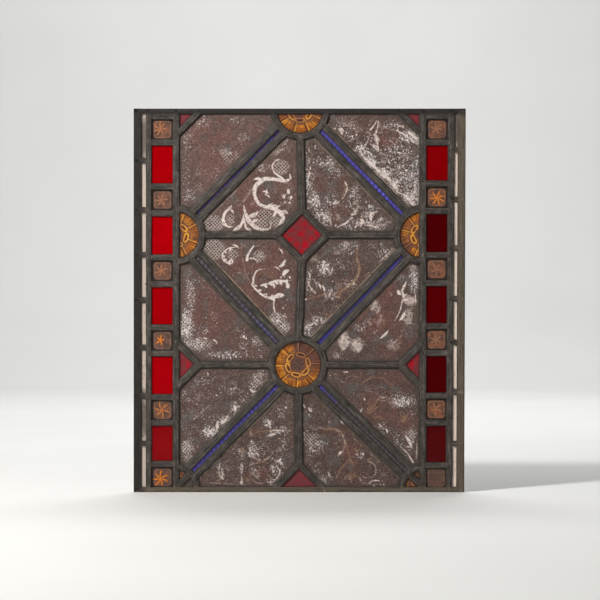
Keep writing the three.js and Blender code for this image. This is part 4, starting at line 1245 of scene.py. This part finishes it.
def rosette(x, z, petals, turn):
    """Trace lines of a rosette about (x, z): between petals a dark line and a pale one,
    inside each a comb of short spokes, and nearer the eye a ring of long closed loops."""
    pale, ink = [], []

    def spoke(angle, r0, r1, w):
        way = np.array([np.cos(np.radians(angle)), np.sin(np.radians(angle))])
        line = [(x, z) + way * r for r in (r0, (r0 + r1) / 2, r1)]
        return with_width(np.array(line), w * 0.6, w)

    wide = 360 / petals
    for k in range(petals):
        angle = turn + wide * k + rng.uniform(-4, 4)
        ink.append(spoke(angle, PETAL_FOOT, PETAL_HEAD, 1.1))
        pale.append(spoke(angle + 4.2, PETAL_FOOT, PETAL_HEAD, 0.75))
        comb = angle + wide * np.linspace(0.2, 0.9, 6) + rng.uniform(-1.5, 1.5, 6)
        ink += [spoke(a, rng.uniform(22, 29), PETAL_HEAD, rng.uniform(0.5, 0.95)) for a in comb]
    rays = turn + 360 / LOOPS * np.arange(LOOPS) + rng.uniform(-12, 12, LOOPS)
    ink += [spoke(ray, 3, 7.5, 0.9) for ray in rays]
    t = np.linspace(0, 2 * np.pi, 17)
    across = np.sign(np.cos(t)) * np.abs(np.cos(t)) ** 0.6
    rounds = ((pale, 3.1, 0.84, 0.9), (ink, 4.6, 1.0, 0.65), (ink, 0.6, 0.45, 0.8))
    for k in range(LOOPS):
        middle = np.radians(turn + 20 + 360 / LOOPS * k + rng.uniform(-4, 4))
        for strokes, thick, spread, w in rounds:
            out = LOOP_RING + thick * across
            angle = middle + np.pi / LOOPS * spread * np.sin(t)
            loop = [x + out * np.cos(angle), z + out * np.sin(angle)]
            strokes.append(with_width(np.column_stack(loop), w, w))
    return pale, ink


# Each: how many petals, the turn of the rosette, and its ovals of golden stain.
STAINS = {
    "centre": (8, -4, [
        (-30, 188, 13, 34, 1), (-8, 163, 26, 13, 0.85), (12, 170, 20, 15, 0.8), (-22, 212, 14, 13, 0.9),
        (-20, 194, 6, 9, 1), (-10, 177, 12, 6, 0.7), (24, 178, 10, 12, 0.6), (12, 190, 8, 10, 0.5),
    ]),
    "top": (9, 12, [
        (-22, 552, 16, 14, 0.8), (0, 544, 14, 8, 1), (16, 547, 14, 10, 0.9), (14, 562, 9, 8, 0.8),
        (26, 556, 10, 10, 0.5),
    ]),
    "left": (8, 22, [
        (-168, 388, 8, 18, 1), (-172, 408, 16, 12, 0.7), (-158, 395, 12, 14, 0.6), (-160, 368, 14, 12, 0.85),
        (-178, 362, 10, 12, 0.7),
    ]),
    "right": (9, 6, [
        (176, 410, 12, 12, 0.95), (166, 386, 7, 12, 0.9), (176, 400, 8, 7, 0.75), (173, 374, 6, 7, 0.85),
        (174, 360, 10, 10, 0.8), (155, 388, 9, 14, 0.55), (162, 404, 12, 10, 0.6),
    ]),
    "corner_left": (8, 0, [(-176, 26, 9, 12, 0.45)]),
    "corner_right": (8, 0, [(157, 12, 8, 8, 0.6), (171, 27, 7, 10, 0.5)]),
}
material, start, place, shader = begin("amber stained glass")
rim, pale, ink, gold, eye, grey = start.marks("rim", "pale", "ink", "gold", "eye", "grey")
clouds = start.mottle(place, 9.0, 3.0, 0.6, 1.1)
grain = start.mottle(place, 1.5, 2.0, 0.7, 4.0)
ragged = (start.mottle(place, 1.8, 3.0, 0.7, 7.0) - 0.5) * 2.6
gilt = (gold + clouds * 0.5 - 0.3).rise(0.05, 0.95)
colour = start.between(gilt, dye(106, 72, 60), dye(196, 112, 34))
colour = colour.tinted(gilt * clouds.rise(0.45, 0.62) * 0.7, dye(236, 160, 46))
colour = colour.tinted(grain.rise(0.5, 0.38) * 0.6, dye(138, 70, 36))
colour = colour.tinted(eye * (clouds * 0.6 + 0.6), dye(98, 74, 68))
colour = colour.tinted(grain.rise(0.52, 0.7) * 0.45, dye(92, 56, 44))
colour = colour.tinted((ragged - ink).rise(-0.35, 0.4) * 0.9, dye(66, 36, 24))
scratched = start.between(gilt, dye(168, 112, 74), dye(240, 176, 76))
colour = colour.tinted((ragged - pale).rise(-0.35, 0.35) * 0.9, scratched)
colour = colour.tinted((1 - rim.rise(4.2, 5.6)) * 0.7, dye(70, 44, 26))
colour = colour.tinted(grey, dye(82, 74, 68))
put(shader, Base_Color=colour, Roughness=grain * 0.2 + 0.35, Transmission_Weight=0.15)
put(shader, Specular_IOR_Level=0.25, Normal=bumped(grain, 0.0002))
for name, (petals, turn, areas) in STAINS.items():
    cx, cz = ROUNDELS[name][:2]
    pale, ink = rosette(cx, cz, petals, turn)
    for part in ("_upper", "_lower") if name.startswith("corner") else ("",):
        node = "roundel_" + name + part
        points, faces, marks = glass_sheet(node, 0.7)
        x, z = points[:, 0], points[:, 2]
        out = np.hypot(x - cx, z - cz)
        marks["pale"], marks["ink"] = reach_to(pale, x, z), reach_to(ink, x, z)
        marks["gold"] = patch(areas, x, z)
        moat = np.clip(np.minimum(out - MOAT[0], MOAT[1] - out) / 2.0, 0, 1)
        marks["eye"] = np.maximum(np.clip((EYE - out) / 2.0, 0, 1), moat * 0.8)
        marks["grey"] = np.full(x.shape, 0.85 if node == "roundel_corner_left_lower" else 0.0)
        fitted(node + "_glass", node, material, [(points, faces, marks)])


# ---- Border rubies ----------------------------------------------------------------------
# Pot-metal ruby, cut into upright oblongs. Those on the right are of a deeper sheet. Depths
# are given from the foot up.
DEPTHS = {"left": (0.5, 0.12, 0.2, 0.0, 0.15), "right": (0.97, 1.0, 0.94, 1.0, 0.52)}
material, start, place, shader = begin("ruby glass")
rim, deep = start.marks("rim", "deep")
clouds = start.mottle(place, 25.0, 2.0)
colour = start.between(deep, dye(196, 0, 12), dye(84, 0, 4))
colour = colour.tinted(clouds.rise(0.4, 0.8) * 0.18, dye(90, 0, 6))
colour = colour.tinted((1 - rim.rise(3.6, 5.4)) * 0.6, dye(92, 12, 18))
put(shader, Base_Color=colour, Roughness=0.12, Transmission_Weight=0.35, IOR=1.18)
for side, depths in DEPTHS.items():
    for i, depth in enumerate(depths, 1):
        node = f"ruby_{side}_{i}"
        points, faces, marks = glass_sheet(node, 2.0, wave=0.06)
        marks["deep"] = np.full(len(points), depth)
        fitted(node + "_glass", node, material, [(points, faces, marks)])


# ---- Flower quarries --------------------------------------------------------------------
# Small squares painted brown to a rounded frame, with a flower picked out and stained orange.
# Each: middle, reach, rays, turn, strength of the stain, and how strongly the brown is warmed.
FLOWERS = {
    "left_1": (-209, 20, 15, 7, 80, 1.0, 0.3), "left_2": (-207, 123, 15, 6, 100, 0.55, 0.5),
    "left_3": (-209, 228, 9, 5, 70, 1.0, 0.1), "left_4": (-208, 332, 12, 6, 75, 0.22, 0.3),
    "left_5": (-208, 438, 13, 6, 60, 0.15, 0.25), "left_6": (-209, 545, 13, 7, 90, 0.3, 0.45),
    "right_1": (204, 20, 1, 0, 0, 0.0, 0.0), "right_2": (204, 124, 13, 5, 40, 0.2, 0.9),
    "right_3": (204, 228, 12, 6, 30, 0.05, 0.75), "right_4": (205, 334, 13, 5, 50, 0.1, 0.7),
    "right_5": (206, 441, 14, 7, 70, 0.85, 0.8), "right_6": (206, 545, 13, 6, 40, 0.12, 0.6),
}
HALF_FRAME, FRAME_ROUND = 13.2, 5.5


def rounded_square(x, z):
    """Distance to a rounded square about the middle of some points, less than zero inside."""
    mid = (x.max() + x.min()) / 2, (z.max() + z.min()) / 2
    away = [np.abs(c - m) - HALF_FRAME + FRAME_ROUND for c, m in zip((x, z), mid)]
    outside = np.hypot(np.maximum(away[0], 0), np.maximum(away[1], 0))
    return outside + np.minimum(np.maximum(*away), 0) - FRAME_ROUND


material, start, place, shader = begin("stained quarry")
petal, border, corner, stain, warm = start.marks("petal", "border", "corner", "stain", "warm")
clouds = start.mottle(place, 8.0, 3.0, 0.6, 2.2)
grain = start.mottle(place, 1.7, 3.0, 0.7, 5.0)
ragged = (start.mottle(place, 2.2, 2.0, 0.6, 3.0) - 0.5) * 1.6
colour = start.between(clouds.rise(0.35, 0.65), dye(86, 64, 56), dye(116, 86, 73))
colour = colour.tinted(warm * clouds.rise(0.4, 0.6) * 0.9, dye(146, 88, 56))
colour = colour.tinted(grain.rise(0.5, 0.75) * 0.4, dye(82, 60, 52))
colour = colour.tinted((ragged - border).rise(-0.3, 0.4) * 0.5, dye(158, 124, 104))
colour = colour.tinted((ragged + 0.9 - petal).rise(-0.2, 0.4) * 0.45, dye(84, 52, 40))
flower = start.between(stain, dye(148, 108, 88), dye(222, 128, 36))
colour = colour.tinted((ragged - petal).rise(-0.35, 0.45) * 0.95, flower)
colour = colour.tinted(corner * 0.95, dye(46, 36, 32))
put(shader, Base_Color=colour, Roughness=grain * 0.2 + 0.4, Transmission_Weight=0.1)
put(shader, Specular_IOR_Level=0.25, Normal=bumped(grain, 0.0002))
for name, (cx, cz, reach, rays, turn, stain, warm) in FLOWERS.items():
    node = "flower_quarry_" + name
    points, faces, marks = glass_sheet(node, 0.7)
    x, z = points[:, 0], points[:, 2]
    angles = np.radians(turn + 360 / max(rays, 1) * np.arange(rays) + rng.uniform(-7, 7, rays))
    tips = zip(reach * rng.uniform(0.75, 1.0, rays), angles)
    petals = [leaf(cx, cz, cx + r * np.cos(a), cz + r * np.sin(a), 1.15, 0.08) for r, a in tips]
    marks["petal"] = reach_to([*petals, berry(cx, cz, 1.8)] if rays else [], x, z)
    square = rounded_square(x, z)
    marks["border"] = np.abs(square + 1.3) - 0.5
    marks["corner"] = np.clip(square + 0.3, 0, 1) * (1.0 if rays else 0.5)
    marks["stain"] = np.full(x.shape, stain)
    marks["warm"] = np.full(x.shape, warm)
    fitted(node + "_glass", node, material, [(points, faces, marks)])


# ---- White fillets ----------------------------------------------------------------------
# Narrow strips of white glass inside the two side cames, butted under lead straps, and soiled
# here and there. Those on the right are of a warmer white.
SOIL = {
    "left": [
        (-234, 110, 8, 32, 0.75), (-234, 532, 8, 32, 0.8), (-234, 180, 8, 26, 0.3), (-234, 145, 9, 12, 0.6),
        (-234, 250, 8, 20, 0.2),
    ],
    "right": [
        (232, 545, 9, 30, 0.9), (232, 40, 8, 30, 0.2), (232, 470, 8, 40, 0.12), (233, 150, 9, 12, 0.35),
    ],
}
WARMTH = {"left": 0.1, "right": 1.0}
UNDER_STRAP = 0.4  # from a strip's end to the middle of its strap
material, start, place, shader = begin("white glass")
rim, soil, warm = start.marks("rim", "soil", "warm")
clouds = start.mottle(place, 6.0, 3.0, 0.65)
grain = start.mottle(place, 1.6, 2.0, 0.7, 2.0)
colour = start.between(warm, dye(200, 184, 172), dye(248, 228, 212))
colour = colour.tinted(clouds.rise(0.5, 0.75) * 0.4, dye(176, 156, 144))
colour = colour.tinted((soil + clouds * 0.8 - 0.55).rise(0.0, 0.6), dye(112, 100, 92))
colour = colour.tinted(grain.rise(0.55, 0.8) * 0.3, dye(140, 124, 114))
colour = colour.tinted((1 - rim.rise(2.4, 3.6)) * 0.6, dye(120, 104, 92))
put(shader, Base_Color=colour, Roughness=grain * 0.2 + 0.3)
put(shader, Transmission_Weight=0.08, Specular_IOR_Level=0.3)
for side, straps in STRAPS.items():
    node = "white_fillet_" + side
    stops = [0, *straps, HEIGHT]
    strips = []
    for low, high in zip(stops, stops[1:]):
        points, faces, marks = glass_sheet(node, 1.0, low=low + UNDER_STRAP, high=high - UNDER_STRAP)
        marks["soil"] = patch(SOIL[side], points[:, 0], points[:, 2])
        marks["warm"] = np.full(len(points), WARMTH[side])
        strips.append((points, faces, marks))
    fitted(node + "_glass", node, material, strips)
